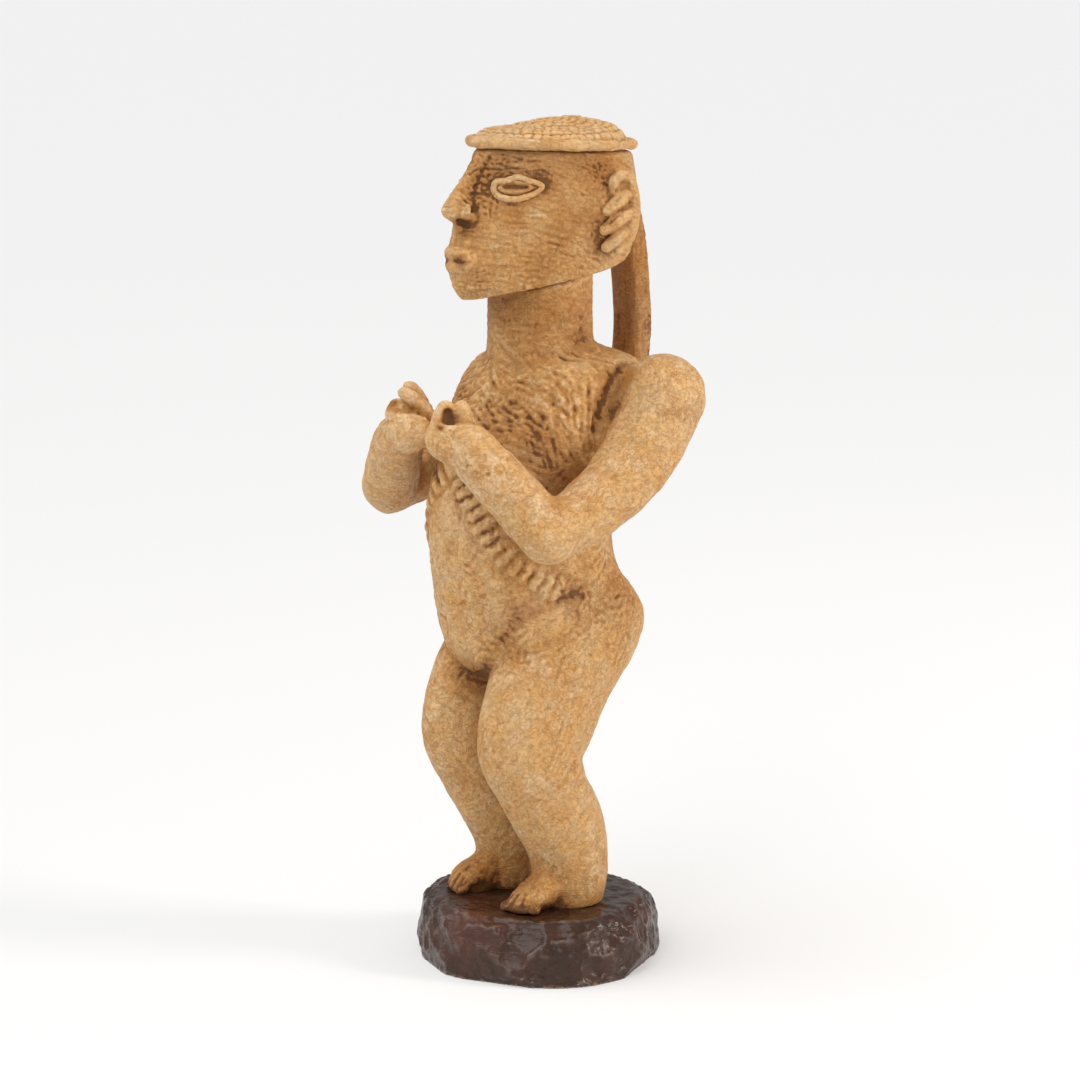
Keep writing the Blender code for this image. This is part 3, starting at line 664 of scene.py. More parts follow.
# The feet are made darker toward their soles, most at the toes.
foot_share = ((8 - y) / 22).clip(0.35, 1.0)
above = z - SOLE
wash += foot_share * (np.exp(-((above / 3.5) ** 2)) + 0.55 * np.exp(-((above / 12) ** 2)))
clay.store("wash", wash.clip(-0.5, 1.5))
print("wash:", np.percentile(wash, (5, 50, 95)).round(2))

# %% [markdown]
# The one skin is now parted at the joints, so that each plain solid has its own finished piece: every
# point goes with the solid it lies nearest to. The pieces keep the shading of the whole skin, so no
# joint shows. Their open ends, hidden against one another, are filled.


# %% Skin parted at the joints
def part_skin(whole, names, rounds=16):
    shape = Clay(whole)
    spans = []
    for name in names:
        solid = frame["nodes"][name].data
        tree = BVHTree.FromPolygons(
            [v.co / MM for v in solid.vertices], [tuple(f.vertices) for f in solid.polygons]
        )
        spans.append(shape.spread(np.array([tree.find_nearest(p)[3] for p in shape.points]), rounds))
    owner = np.argmin(spans, axis=0)
    layer = whole.data.attributes.new("skin_normal", "FLOAT_VECTOR", "POINT")
    layer.data.foreach_set("vector", shape.normals.astype(np.float32).ravel())
    whole.data.materials.clear()
    for name in names:
        whole.data.materials.append(bpy.data.materials.get(name) or bpy.data.materials.new(name))
    first = np.empty(len(whole.data.loops), np.int32)
    whole.data.loops.foreach_get("vertex_index", first)
    start = np.empty(len(whole.data.polygons), np.int32)
    whole.data.polygons.foreach_get("loop_start", start)
    whole.data.polygons.foreach_set("material_index", owner[first[start]].astype(np.int32))
    only(whole)
    bpy.ops.object.mode_set(mode="EDIT")
    bpy.ops.mesh.select_all(action="SELECT")
    bpy.ops.mesh.separate(type="MATERIAL")
    bpy.ops.object.mode_set(mode="OBJECT")
    made = {}
    for piece in list(bpy.context.selected_objects):
        name = piece.data.materials[piece.data.polygons[0].material_index].name
        piece.name = name + "_skin"
        made[name] = piece
    for name, piece in made.items():
        only(piece)
        bpy.ops.object.mode_set(mode="EDIT")
        bpy.ops.mesh.select_all(action="SELECT")
        bpy.ops.mesh.fill_holes(sides=0)
        bpy.ops.mesh.select_mode(type="FACE")
        bpy.ops.mesh.select_all(action="DESELECT")
        bpy.ops.mesh.select_face_by_sides(number=4, type="GREATER")
        bpy.ops.mesh.poke()
        bpy.ops.mesh.select_mode(type="VERT")
        bpy.ops.object.mode_set(mode="OBJECT")
        piece.data.materials.clear()
        bpy.ops.object.shade_smooth()
        flat = np.empty(len(piece.data.vertices) * 3, np.float32)
        piece.data.attributes["skin_normal"].data.foreach_get("vector", flat)
        piece.data.normals_split_custom_set_from_vertices(flat.reshape(-1, 3).tolist())
        piece.data.attributes.remove(piece.data.attributes["skin_normal"])
        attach(piece, "root")
        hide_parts(name)
        print(piece.name, len(piece.data.polygons), "faces")
    return made


part_skin(body, ["trunk", *LIMBS])

# %% [markdown]
# The head is a block with a wedge of a face. The nose's tip, its wings, the lips and the brow are
# small pieces of the same material pressed on and smoothed in, and the eyes sit on the cheeks, not in
# sockets. The mass is fused with smaller cubes than the body, for the face has the finest cuts.

# %% Rough head
HEAD_CUBE = 0.5 * MM

head = copies("head_skin", ["head"])
bpy.ops.mesh.primitive_cube_add(size=1, location=(0, -0.0507, 0.2775), scale=(0.04, 0.02, 0.0115))
lip_cut = added("lip_cut")
modify(head, "BOOLEAN", operation="DIFFERENCE", solver="EXACT", object=lip_cut)
bpy.data.objects.remove(lip_cut)
head = joined("head_skin", [
    head,
    lump("nose_tip", (0, -40.4, 296.6), (4.2, 4.7, 4.5), (-18, 0, 0)),
    lump("left_wing", (3.9, -37.9, 295.8), (3.0, 4.0, 3.3), (0, 0, 24)),
    lump("right_wing", (-3.9, -37.9, 295.8), (3.0, 4.0, 3.3), (0, 0, -24)),
    lump("upper_lip", (0, -39.9, 280.7), (6.0, 4.1, 3.2)),
    lump("lower_lip", (0, -39.5, 275.1), (5.8, 4.0, 3.1)),
    lump("below_lip", (0, -37.8, 271.5), (6.0, 4.2, 4.0)),
    lump("mouth", (0, -37.4, 277.8), (8.4, 5.8, 6.4)),
    lump("philtrum", (0, -37.0, 283.6), (6.0, 4.6, 5.0), (24, 0, 0)),
    lump("chin", (0, -35.4, 268.4), (7.6, 4.4, 4.4)),
    roll("nose_ridge", [(0, -28.0, 315.5), (0, -31.0, 309.5), (0, -35.6, 301.5)], (2.3, 2.2, 2.8)),
])
head = remesh(head, HEAD_CUBE)
clay = Clay(head)
clay.relax(7)
x, y, z = clay.points.T
face = ((y < -30) & (np.abs(x) < 9)).astype(float)
clay.relax(40, 1 - clay.spread(face, 8).clip(0, 1))
clay.relax(30, near(clay.points, (0, -38, 263.5), 8).clip(0, 1))
print("head points:", len(clay.points))

# %% [markdown]
# The face's lines are few. A groove runs down each side of the nose from the brim, a hollow stands
# for each nostril, one slit parts the lips, and a second, smaller rim with a slit lies in each eye.


# %% Face lines
def eye_frame(side):
    """The middle of an eye on the cheek, and the directions along it and up it."""
    along = np.array((side * 0.62, 0.785, 0.0))
    return np.array((side * 15.6, -23.2, 305.2)), along, np.array((0.0, 0.0, 1.0))


def eye_line(side, outline):
    middle, along, up = eye_frame(side)
    return skin_path([tuple(middle + along * u + up * v) for u, v in outline])


EYE = [(-8.9, 0.2), (-7.8, 2.6), (-4.5, 3.9), (0.0, 4.1), (4.5, 3.2), (7.7, 1.7), (10.0, 0.7),
       (7.5, -1.4), (4.1, -3.2), (-0.5, -4.3), (-5.0, -3.9), (-8.1, -2.2), (-8.9, 0.2)]
INNER_EYE = [(-6.6, 0.2), (-4.8, 1.7), (-1.0, 2.1), (3.0, 1.5), (5.4, 0.2),
             (3.0, -1.1), (-1.0, -1.7), (-4.8, -1.3), (-6.6, 0.2)]
EYE_SLIT = [(-4.8, 0.2), (-1.0, 0.3), (3.4, 0.2)]
EYE_THICK = (1.3, 1.3, 1.25, 1.25, 1.25, 1.1, 0.8, 1.1, 1.25, 1.35, 1.35, 1.35, 1.3)  # the rim's radii
FACE_CUTS = [  # path on the left side, half width, depth
    ([(5.4, -29.0, 316.5), (4.6, -31.4, 311), (4.6, -33.6, 306), (5.0, -35.4, 301.5), (6.6, -36.4, 297)],
     1.1, 1.1),
    ([(6.6, -36.6, 297.6), (7.6, -35.6, 294), (6.0, -36.4, 291)], 1.0, 0.7),
    ([(2.6, -40.6, 292.3), (4.6, -38.4, 291.2)], 1.2, 1.7),
    ([(2.2, -43.4, 277.8), (4.4, -42.0, 277.5), (7.4, -39.4, 277.6)], 0.7, 0.75),
    ([(8.0, -38.4, 281), (8.6, -38.0, 277.5), (7.6, -38.4, 274)], 1.3, 0.45),
    ([(0.6, -41, 270.6), (5, -39.6, 271)], 1.8, 0.3),
]
cut = np.zeros(len(clay.points))
for path, width, depth in FACE_CUTS:
    for line in (path, mirrored(path)):
        cut -= depth * valley(clay.points, skin_path(line), width)
for side in (1, -1):
    cut -= 0.55 * valley(clay.points, eye_line(side, EYE), 2.4)
    cut += 0.85 * valley(clay.points, eye_line(side, INNER_EYE), 0.75)
    cut -= 0.75 * valley(clay.points, eye_line(side, EYE_SLIT), 0.95)
for step in range(2):
    clay.push(cut / 2)
clay.relax(1)
print("face lines cut")

# %% [markdown]
# The cheeks show the brush: fine strokes that run level from the nose to the ear and turn down at the
# jaw. Above the eye they were pressed harder, and beside the nose the corner of the tool left pits.


# %% Strokes on the face
def cheek_way(middle):
    turn = 0.5 * max(0.0, (abs(middle[0]) - 18) / 12)
    return math.copysign(turn + 0.05, -middle[0])


x, y, z = clay.points.T
fold = np.stack([abs(x), y, z], axis=1)
all_over = ((z > 264) & (z < 318) & (y < 30)).astype(float)
change = scores(clay, all_over, 1500, 31, (4, 12), (0.4, 0.75), (0.03, 0.13), cheek_way, 0.14)
brow = near(fold, (14, -24, 313.5), 9) * (z > 309.5)
change += scores(clay, brow, 110, 32, (2, 6), (0.4, 0.6), (0.03, 0.12), cheek_way, 0.3)
nose_side = near(fold, (6.0, -34, 303), 6) + 0.7 * near(fold, (5.4, -31, 311), 5)
change += scores(clay, nose_side, 240, 33, (0.6, 3), (0.4, 0.6), (0.12, 0.4), cheek_way, 0.9)
jaw = near(fold, (17, -14, 276), 11) + near(fold, (24, 0, 283), 9) + near(fold, (7, -36, 269), 6)
change += scores(clay, jaw, 420, 34, (1.5, 5), (0.4, 0.6), (0.03, 0.14), cheek_way, 0.9)
beside_ear = near(fold, (28.5, 5, 300), 7) + near(fold, (28.5, 6, 310), 6)
change += scores(clay, beside_ear, 170, 35, (1, 4), (0.4, 0.6), (0.05, 0.2), cheek_way, 0.9)
clay.push(change.clip(-0.9, 0.4))
# Brown wash on the face, and painted shade under the brim, beside the nose, in the nostrils and the mouth,
# and in front of and under the ears: place on the left side, radius, strength.
FACE_WASH_AND_SHADE = [
    ((5.6, -33.0, 303), 6.0, 0.52),
    ((5.6, -30.5, 311), 5.5, 0.42),
    ((4.5, -38.5, 291), 4.0, 0.75),
    ((4.4, -42.0, 277.7), 2.6, 0.55),
    ((11, -27, 316), 6, 0.18),
    ((19, -18, 316), 7, 0.20),
    ((28, 0, 315), 9, 0.35),
    ((14, -24.5, 309.5), 7, 0.14),
    ((22, -13.5, 307), 5, 0.38),
    ((15, -24.5, 299.5), 6, 0.30),
    ((30, 7, 305), 4, 0.34),
    ((30, 8, 312), 6, 0.26),
    ((29.5, 5, 292), 6, 0.42),
    ((29, 7, 283), 5, 0.50),
    ((24, -4, 294), 6, 0.22),
    ((17, -14, 276), 6, 0.40),
    ((8, -35.5, 269), 6, 0.16),
    ((20, -9, 286), 6, 0.30),
]
wash = stored_wash_and_shade(clay, FACE_WASH_AND_SHADE, 0.12)
for side in (1, -1):
    wash += 0.5 * valley(clay.points, eye_line(side, EYE), 2.5)
clay.store("wash", wash.clip(-0.5, 1.5))
finished(head, "head")

# %% [markdown]
# Each eye is ringed by a thin coil laid on the cheek. It is thinnest at the outer corner, where it was
# pinched to a point, and its two ends meet at the inner corner.

# %% Eye rims
EYE_CUBE = 0.32 * MM

skin = clay  # the eye rims are laid on the head's skin
for word, side in (("left", 1), ("right", -1)):
    clay = skin
    line = eye_line(side, EYE)
    rim = roll(word + "_eye_skin", line, EYE_THICK)
    rim = remesh(rim, EYE_CUBE)
    rim.name = word + "_eye_skin"
    clay = Clay(rim)
    clay.relax(6)
    dents = scores(clay, np.ones(len(clay.points)), 60, 41 + side, (0.6, 2), (0.3, 0.5),
                   (0.03, 0.16), lambda m: 1.4, 0.5)
    clay.push(dents)
    stored_wash_and_shade(clay, (), 0.02)
    finished(rim, word + "_eye_rim")

# %% [markdown]
# The ears are flaps with a thick rolled edge at the top and back, and three fat ridges, like fingers,
# that lie forward and down across each one. The deep gaps between the ridges hold the most wash, and
# painted shade darkens their front ends, where the ear meets the head.

# %% Ears
EAR_CUBE = 0.4 * MM

for word, side in (("left", 1), ("right", -1)):
    pieces = [
        roll("rim", [(31.2, 11.4, 303.4), (31.6, 10.8, 307.0), (32.6, 13.6, 309.2), (33.2, 17.0, 307.6),
                     (33.6, 18.8, 301.6), (33.6, 19.2, 294.4), (32.6, 17.6, 286.0), (31.0, 13.4, 280.8)],
             (2.2, 2.1, 2.1, 2.3, 2.4, 2.5, 2.5, 2.0)),
        roll("upper", [(32.8, 17.4, 302.4), (32.6, 12.6, 299.8), (30.6, 8.6, 295.8)], (2.4, 2.8, 2.2)),
        roll("middle", [(33.0, 17.6, 295.0), (32.4, 12.0, 292.2), (30.4, 7.4, 288.6)], (2.4, 2.8, 2.2)),
        roll("lower", [(32.6, 16.6, 287.8), (31.8, 11.8, 285.2), (30.4, 8.2, 282.0)], (2.3, 2.6, 2.1)),
        lump("flap", (30.6, 14.6, 294.6), (2.6, 5.2, 14.0), (0, 0, -20)),
        lump("top", (30.4, 14.6, 305.4), (2.4, 4.0, 4.0), (0, 0, -20)),
    ]
    ear = joined(word + "_ear_skin", pieces)
    if side < 0:
        only(ear)
        bpy.ops.transform.mirror(constraint_axis=(True, False, False), center_override=(0, 0, 0))
        bpy.ops.object.transform_apply(location=True, rotation=True, scale=True)
        weld(ear)
    ear = remesh(ear, EAR_CUBE)
    ear.name = word + "_ear_skin"
    clay = Clay(ear)
    clay.relax(7)
    cut = np.zeros(len(clay.points))
    for path, width, depth in (
        ([(33.6, 10.4, 303.4), (34.4, 12.6, 305.0), (35, 15.2, 305.8)], 0.8, 1.3),
        ([(33.6, 7.0, 298.2), (35.0, 11.0, 301.4)], 0.9, 1.0),
        ([(33.0, 7.4, 292.0), (35.2, 12.0, 295.8), (36, 15.6, 298.4)], 0.9, 1.2),
        ([(32.8, 7.0, 285.4), (35.0, 12.0, 288.8), (36, 15.4, 291.2)], 0.9, 1.2),
    ):
        cut -= depth * valley(clay.points, [(side * a, b, c) for a, b, c in path], width)
    clay.push(cut)
    dents = scores(clay, np.ones(len(clay.points)), 200, 51 + side, (1, 4), (0.4, 0.6),
                   (0.02, 0.1), lambda m: -0.5 * side, 0.7)
    clay.push(dents)
    # Wash and painted shade at the gaps' front ends, where the ear meets the head.
    spots = [((31, 8.6, 292), 3.0, 0.35), ((31, 8.6, 286), 3.0, 0.3), ((31, 9, 303), 3, 0.3)]
    stored_wash_and_shade(clay, spots, 0.05)
    finished(ear, word + "_ear")

# %% [markdown]
# The cap's brim is one thick coil, rolled by hand and so never quite round, laid over the edge of the
# head. The low crown inside it was pricked and pressed in rows that follow the brim, until it looks
# like rows of knots. The rows wander a little, and the crown is drawn out over the brim.

# %% Brim and crown
BRIM_CUBE = 0.5 * MM
CROWN_CUBE = 0.45 * MM
CROWN_SWELL = 0.25 * MM

brim = rough("brim", BRIM_CUBE)
clay = Clay(brim)
clay.relax(16)
x, y, z = clay.points.T
turn = np.arctan2(x, 8 - y)
swell = 0.22 * np.sin(turn * 5 + 1) + 0.14 * np.sin(turn * 11 + 2) + 0.08 * np.sin(turn * 23)
swell += np.where(y < 0, 0.18, -0.05)
swell += scores(clay, np.ones(len(x)), 380, 61, (1, 6), (0.4, 0.8), (0.03, 0.2), lambda m: 0.1, 0.5)
clay.push(swell)
stored_wash_and_shade(clay, (), 0.14)
finished(brim, "brim")

crown = rough("crown", CROWN_CUBE, CROWN_SWELL)
clay = Clay(crown)
clay.relax(18)
KNOT_ROW = 3.1
KNOT_LENGTH = 4.2
CROWN_REACH = 33.5  # the crown's own mean radius
CROWN_SPREAD = 1.055  # how far the crown is drawn out over the brim
BINS = 60  # the crown's outline is measured at this many places
x, y, z = clay.points.T
top = clay.normals[:, 2].clip(0, 1)
low, high = (np.array(corner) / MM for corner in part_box("crown"))
crown_middle = (low + high) / 2
around = np.arctan2(x, crown_middle[1] - y)
away = np.hypot(x, y - crown_middle[1])
bins = ((around + math.pi) / (2 * math.pi) * BINS).astype(int) % BINS
edge_reach = np.zeros(BINS)
np.maximum.at(edge_reach, bins, away)
edge_reach = (edge_reach + np.roll(edge_reach, 1) + np.roll(edge_reach, -1)) / 3
place = (around + math.pi) / (2 * math.pi) * BINS - 0.5
round_again = np.arange(-1, BINS + 1)
out = away / np.interp(place, round_again, edge_reach[round_again % BINS])
row_place = (out + 0.010 * lumps(clay, 160, 64)) * CROWN_REACH / KNOT_ROW
row = np.floor(row_place)
round_row = 2 * math.pi * np.maximum((row + 0.5) * KNOT_ROW, 0.1 * CROWN_REACH)
knots = np.maximum(1, np.round(round_row / KNOT_LENGTH))
knot_place = around / (2 * math.pi) * knots + 0.37 * row + 0.16 * lumps(clay, 60, 65)
ridge = np.abs(np.sin(math.pi * row_place)) ** 0.7
along = np.abs(np.sin(math.pi * knot_place))
pinch = 1 - 0.75 * np.exp(-((along / 0.33) ** 2))
dice = np.random.default_rng(62)
tall = dice.uniform(0.6, 1.2, 4000)[((row * 97 + np.floor(knot_place) * 31) % 4000).astype(int)]
prick = np.exp(-((np.sin(math.pi * row_place) / 0.42) ** 2) - (along / 0.36) ** 2)
inside = 1 / (1 + np.exp((out - 0.96) / 0.02))
edge = 1 / (1 + np.exp((0.93 - out) / 0.012))
sunk = 1 / (1 + np.exp((0.93 - out) / 0.015))
full = np.exp(-(((out - 0.80) / 0.17) ** 2))
pattern = inside * (0.3 + 0.7 * top) * (0.95 * ridge * pinch * tall - 1.0 * prick - 0.25) - 1.1 * edge
clay.points[:, 2] += (1.7 * full - 0.5 * sunk) * top
clay.points[:, :2] = crown_middle[:2] + CROWN_SPREAD * (clay.points[:, :2] - crown_middle[:2])
clay.push(pattern + scores(clay, top, 300, 63, (1, 4), (0.35, 0.6), (0.03, 0.2), lambda m: 0.2, 0.9))
clay.relax(1)
# A level below nought turns the whole crown toward the paler rubbed colour: partly wear, partly a painted
# highlight on the figure's top.
stored_wash_and_shade(clay, (), -0.08)
finished(crown, "crown")

# %% [markdown]
# The plait is a flat strap, cut from a slab and set on edge, from behind the ears down to the upper
# back. The brush was drawn down its flat faces, and its outer edge was dabbed.

# %% Plait
PLAIT_CUBE = 0.6 * MM

plait = rough("plait", PLAIT_CUBE)
clay = Clay(plait)
clay.relax(22)
x, y, z = clay.points.T
streaks = scores(clay, np.ones(len(x)), 420, 71, (8, 26), (0.5, 1.0), (0.01, 0.06), lambda m: 1.55, 0.05)
outer = clay.spread((clay.normals[:, 1] > 0.3).astype(float), 4)
streaks += scores(clay, outer + 1e-4, 380, 72, (0.8, 3), (0.5, 0.8), (0.05, 0.22), lambda m: 0.5, 0.9)
clay.push(streaks)
wash = stored_wash_and_shade(clay, [((4, 36, 296), 8, 0.3), ((4, 36, 246), 6, 0.3)], 0.50)
clay.store("wash", (wash + 0.35 * outer).clip(-0.5, 1.5))
finished(plait, "plait")

# %% [markdown]
# The plinth is a block, a little wider at the foot, trimmed all round with a flat blade. Each stroke
# took off a flat: a ring of large ones round the side, smaller ones on the top edge and a few on the
# bottom edge. Trimming here is the same act: every point beyond a blade's plane is moved back onto
# it. A round tool then pressed hollows that meet in sharp ridges. The top is gently dimpled, and
# thick glossy paint has run into the edge and wrinkled there.

# %% Plinth
PLINTH_CUBE = 0.75 * MM
PAINT_THICK = 0.6 * MM  # the coat of gloss over the block

plinth = rough("plinth", PLINTH_CUBE, PAINT_THICK)
clay = Clay(plinth)
clay.relax(3)


def trim(shape, spot, facing, depth):
    """Takes everything off that stands less than depth below a spot on the skin."""
    facing = np.array(facing) / np.linalg.norm(facing)
    beyond = (shape.points - np.array(spot)) @ facing + depth
    shape.points -= beyond.clip(0, None)[:, None] * facing


def direction(turn, rise):
    """A unit arrow at a turn round the middle and a rise from level."""
    return (math.cos(turn) * math.cos(rise), math.sin(turn) * math.cos(rise), math.sin(rise))


def scoop(shape, spot, facing, radius, depth):
    """Presses a ball into the skin, which leaves a round hollow with a sharp edge."""
    middle = np.array(spot + facing * (radius - depth))
    offset = shape.points - middle
    away = np.sqrt((offset**2).sum(axis=1))
    inside = away < radius
    shape.points[inside] = middle + offset[inside] * (radius / away[inside])[:, None]


def closest(points, turn, height):
    """The outermost place of a skin at about that turn round the middle and that height."""
    heading = np.array((math.cos(turn), math.sin(turn)))
    aside = np.abs(points[:, :2] @ np.array((-heading[1], heading[0])))
    level = (aside < 1.5) & (points[:, :2] @ heading > 0) & (np.abs(points[:, 2] - height) < 2)
    level = np.flatnonzero(level)
    return Vector(points[level[np.argmax(points[level, :2] @ heading)]])


CORNER = Vector((-42, -24))  # the one corner of the top that the blade left standing
clay.push(2.6 * near(clay.points, (*CORNER, 22), 9))
dice = np.random.default_rng(81)
TOP = float(clay.points[:, 2].max())
rise = clay.points[:, 2]
clay.points[:, :2] *= (1.035 - 0.075 * rise / TOP - 0.03 * np.exp(-rise / 2))[:, None]
clay.write()
tree = BVHTree.FromPolygons(
    [Vector(p) for p in clay.points], [tuple(f.vertices) for f in clay.piece.data.polygons]
)
BLADE_RINGS = (  # count, height, upward tilt, depth from, depth to
    (9, 11, 0.02, 0.6, 2.2),
    (8, 8, 0.05, 0.2, 1.6),
    (13, 20, 0.45, 0.4, 1.7),
    (15, 23, 1.05, 0.3, 1.6),
    (11, 3, -0.5, 0.3, 1.5),
)
for count, height, tilt, shallow, deep in BLADE_RINGS:
    for k in range(count):
        turn = 2 * math.pi * (k + dice.uniform(-0.25, 0.25)) / count
        facing = Vector((math.cos(turn), math.sin(turn), 0))
        hit = tree.ray_cast(facing * 200 + Vector((0, 0, height)), -facing)[0]
        rise = tilt + dice.uniform(-0.12, 0.12)
        turned = turn + dice.uniform(-0.10, 0.10)
        facing = direction(turned, rise)
        kept = 0.15 if tilt > 0.3 and (hit.xy - CORNER).length < 20 else 1.0
        trim(clay, hit, facing, dice.uniform(shallow, deep) * kept)
for k in range(58):
    turn = 2 * math.pi * (k * 0.382 + dice.uniform(-0.05, 0.05))
    height = dice.uniform(5, TOP)
    hit = closest(clay.points, turn, height)
    if (hit.xy - CORNER).length > 13:
        rise = 0.9 * height / TOP - 0.25 + dice.uniform(-0.3, 0.3)
        facing = Vector(direction(turn, rise))
        scoop(clay, hit, facing, dice.uniform(8, 24), dice.uniform(0.5, 2.0))
clay.write()
clay.relax(1)
for _ in range(46):
    spot = (dice.uniform(-44, 44), dice.uniform(-42, 42), TOP)
    clay.push(dice.uniform(-0.28, 0.16) * near(clay.points, spot, dice.uniform(3.5, 8)))
x, y, z = clay.points.T
rim = np.exp(-(((z - TOP + 1.5) / 3.0) ** 2)) * (1 - clay.normals[:, 2].clip(0, 1) ** 8)
wrinkles = scores(clay, rim + 1e-5, 420, 82, (2, 8), (0.7, 1.2), (0.03, 0.26), lambda m: 0.0, 0.6)
sides = ((z > 1.5) & (z < 20)).astype(float)
wrinkles += scores(clay, sides, 380, 83, (3, 14), (0.7, 1.2), (0.04, 0.24), lambda m: 0.2, 0.8)
wrinkles += 0.10 * lumps(clay, 6, 85) + 0.12 * lumps(clay, 24, 86)
lid = (z > TOP - 2).astype(float)
wrinkles += scores(clay, lid, 260, 84, (2, 9), (0.9, 1.6), (0.03, 0.16), lambda m: 0.0, 1.5)
wrinkles[z < 0.6] = 0
clay.push(wrinkles)
clay.points[:, 2] = np.maximum(clay.points[:, 2], 0.0)
under = clay.points[:, 2] < 0.7
clay.points[under, 2] = 0.0
clay.write()
# How far each point stands proud: it drives both the worn paint and a painted sheen on the ridges.
ridges = -clay.hollows(10) / 0.35
clay.store("worn", ridges.clip(-1, 1.5))
clay.store("wash", (clay.hollows(5) / 0.15).clip(-1, 1))
finished(plinth, "plinth")
print("plinth top:", round(TOP, 1), "mm")

# %% [markdown]
# Paint. The pale figure is painted in a warm ivory that is not one colour: patches of it lean to
# ochre. Brown wash lies in the hollows and in fine cracks, broken up by the brush, and the same brown
# is painted shade in the recesses. The high places are rubbed lighter, and that paler colour is also a
# painted highlight on the ridges and the crown. Brush lines and grain too small to model are a bump.


# %% Paint helpers
def material(name):
    made = bpy.data.materials.new(name)
    made.use_nodes = True
    made.node_tree.nodes.clear()
    return made, made.node_tree


def node(tree, kind, inputs=None, **settings):
    made = tree.nodes.new(kind)
    for setting, value in settings.items():
        setattr(made, setting, value)
    for socket, value in (inputs or {}).items():
        if isinstance(value, bpy.types.NodeSocket):
            tree.links.new(value, made.inputs[socket])
        else:
            made.inputs[socket].default_value = value
    return made


def noise(tree, scale, detail=4.0, stretch=None, roughness=0.55, seed=0.0):
    """Noise in the object's own metres; stretch squeezes it along the axes."""
    place = node(tree, "ShaderNodeTexCoord").outputs["Object"]
    if stretch or seed:
        shift = {
            "Vector": place,
            "Scale": stretch or (1, 1, 1),
            "Location": (seed, seed * 0.7, seed * 0.3),
        }
        place = node(tree, "ShaderNodeMapping", shift).outputs["Vector"]
    inputs = {"Vector": place, "Scale": scale, "Detail": detail, "Roughness": roughness}
    return node(tree, "ShaderNodeTexNoise", inputs).outputs["Fac"]


def ramp(tree, value, *stops):
    """Stops are (place, grey or colour)."""
    made = node(tree, "ShaderNodeValToRGB", {"Fac": value})
    band = made.color_ramp
    while len(band.elements) < len(stops):
        band.elements.new(1.0)
    for element, (place, colour) in zip(band.elements, stops):
        element.position = place
        element.color = (*([colour] * 3 if isinstance(colour, (int, float)) else colour), 1.0)
    return made.outputs["Color"]


def math_node(tree, operation, a, b, clamp=False):
    return node(tree, "ShaderNodeMath", {0: a, 1: b}, operation=operation, use_clamp=clamp).outputs[0]


def spread_about(tree, value, width):
    """Noise turned into a push to both sides of nought."""
    return math_node(tree, "MULTIPLY", math_node(tree, "SUBTRACT", value, 0.5), width)


def blend_colours(tree, share, a, b, kind="MIX"):
    inputs = {"Factor": share, "A": a, "B": b}
    made = node(tree, "ShaderNodeMix", data_type="RGBA", blend_type=kind)
    sockets = {"Factor": made.inputs[0], "A": made.inputs[6], "B": made.inputs[7]}
    for socket, value in inputs.items():
        if isinstance(value, bpy.types.NodeSocket):
            tree.links.new(value, sockets[socket])
        else:
            sockets[socket].default_value = value if socket == "Factor" else (*value, 1.0)
    return made.outputs[2]


def creased(tree, scale, seed):
    """1 on thin wandering lines, 0 elsewhere."""
    raw = noise(tree, scale, 4, roughness=0.62, seed=seed)
    apart = math_node(tree, "ABSOLUTE", math_node(tree, "SUBTRACT", raw, 0.5), 0.0)
    return ramp(tree, apart, (0.0, 1.0), (0.022, 0.0))


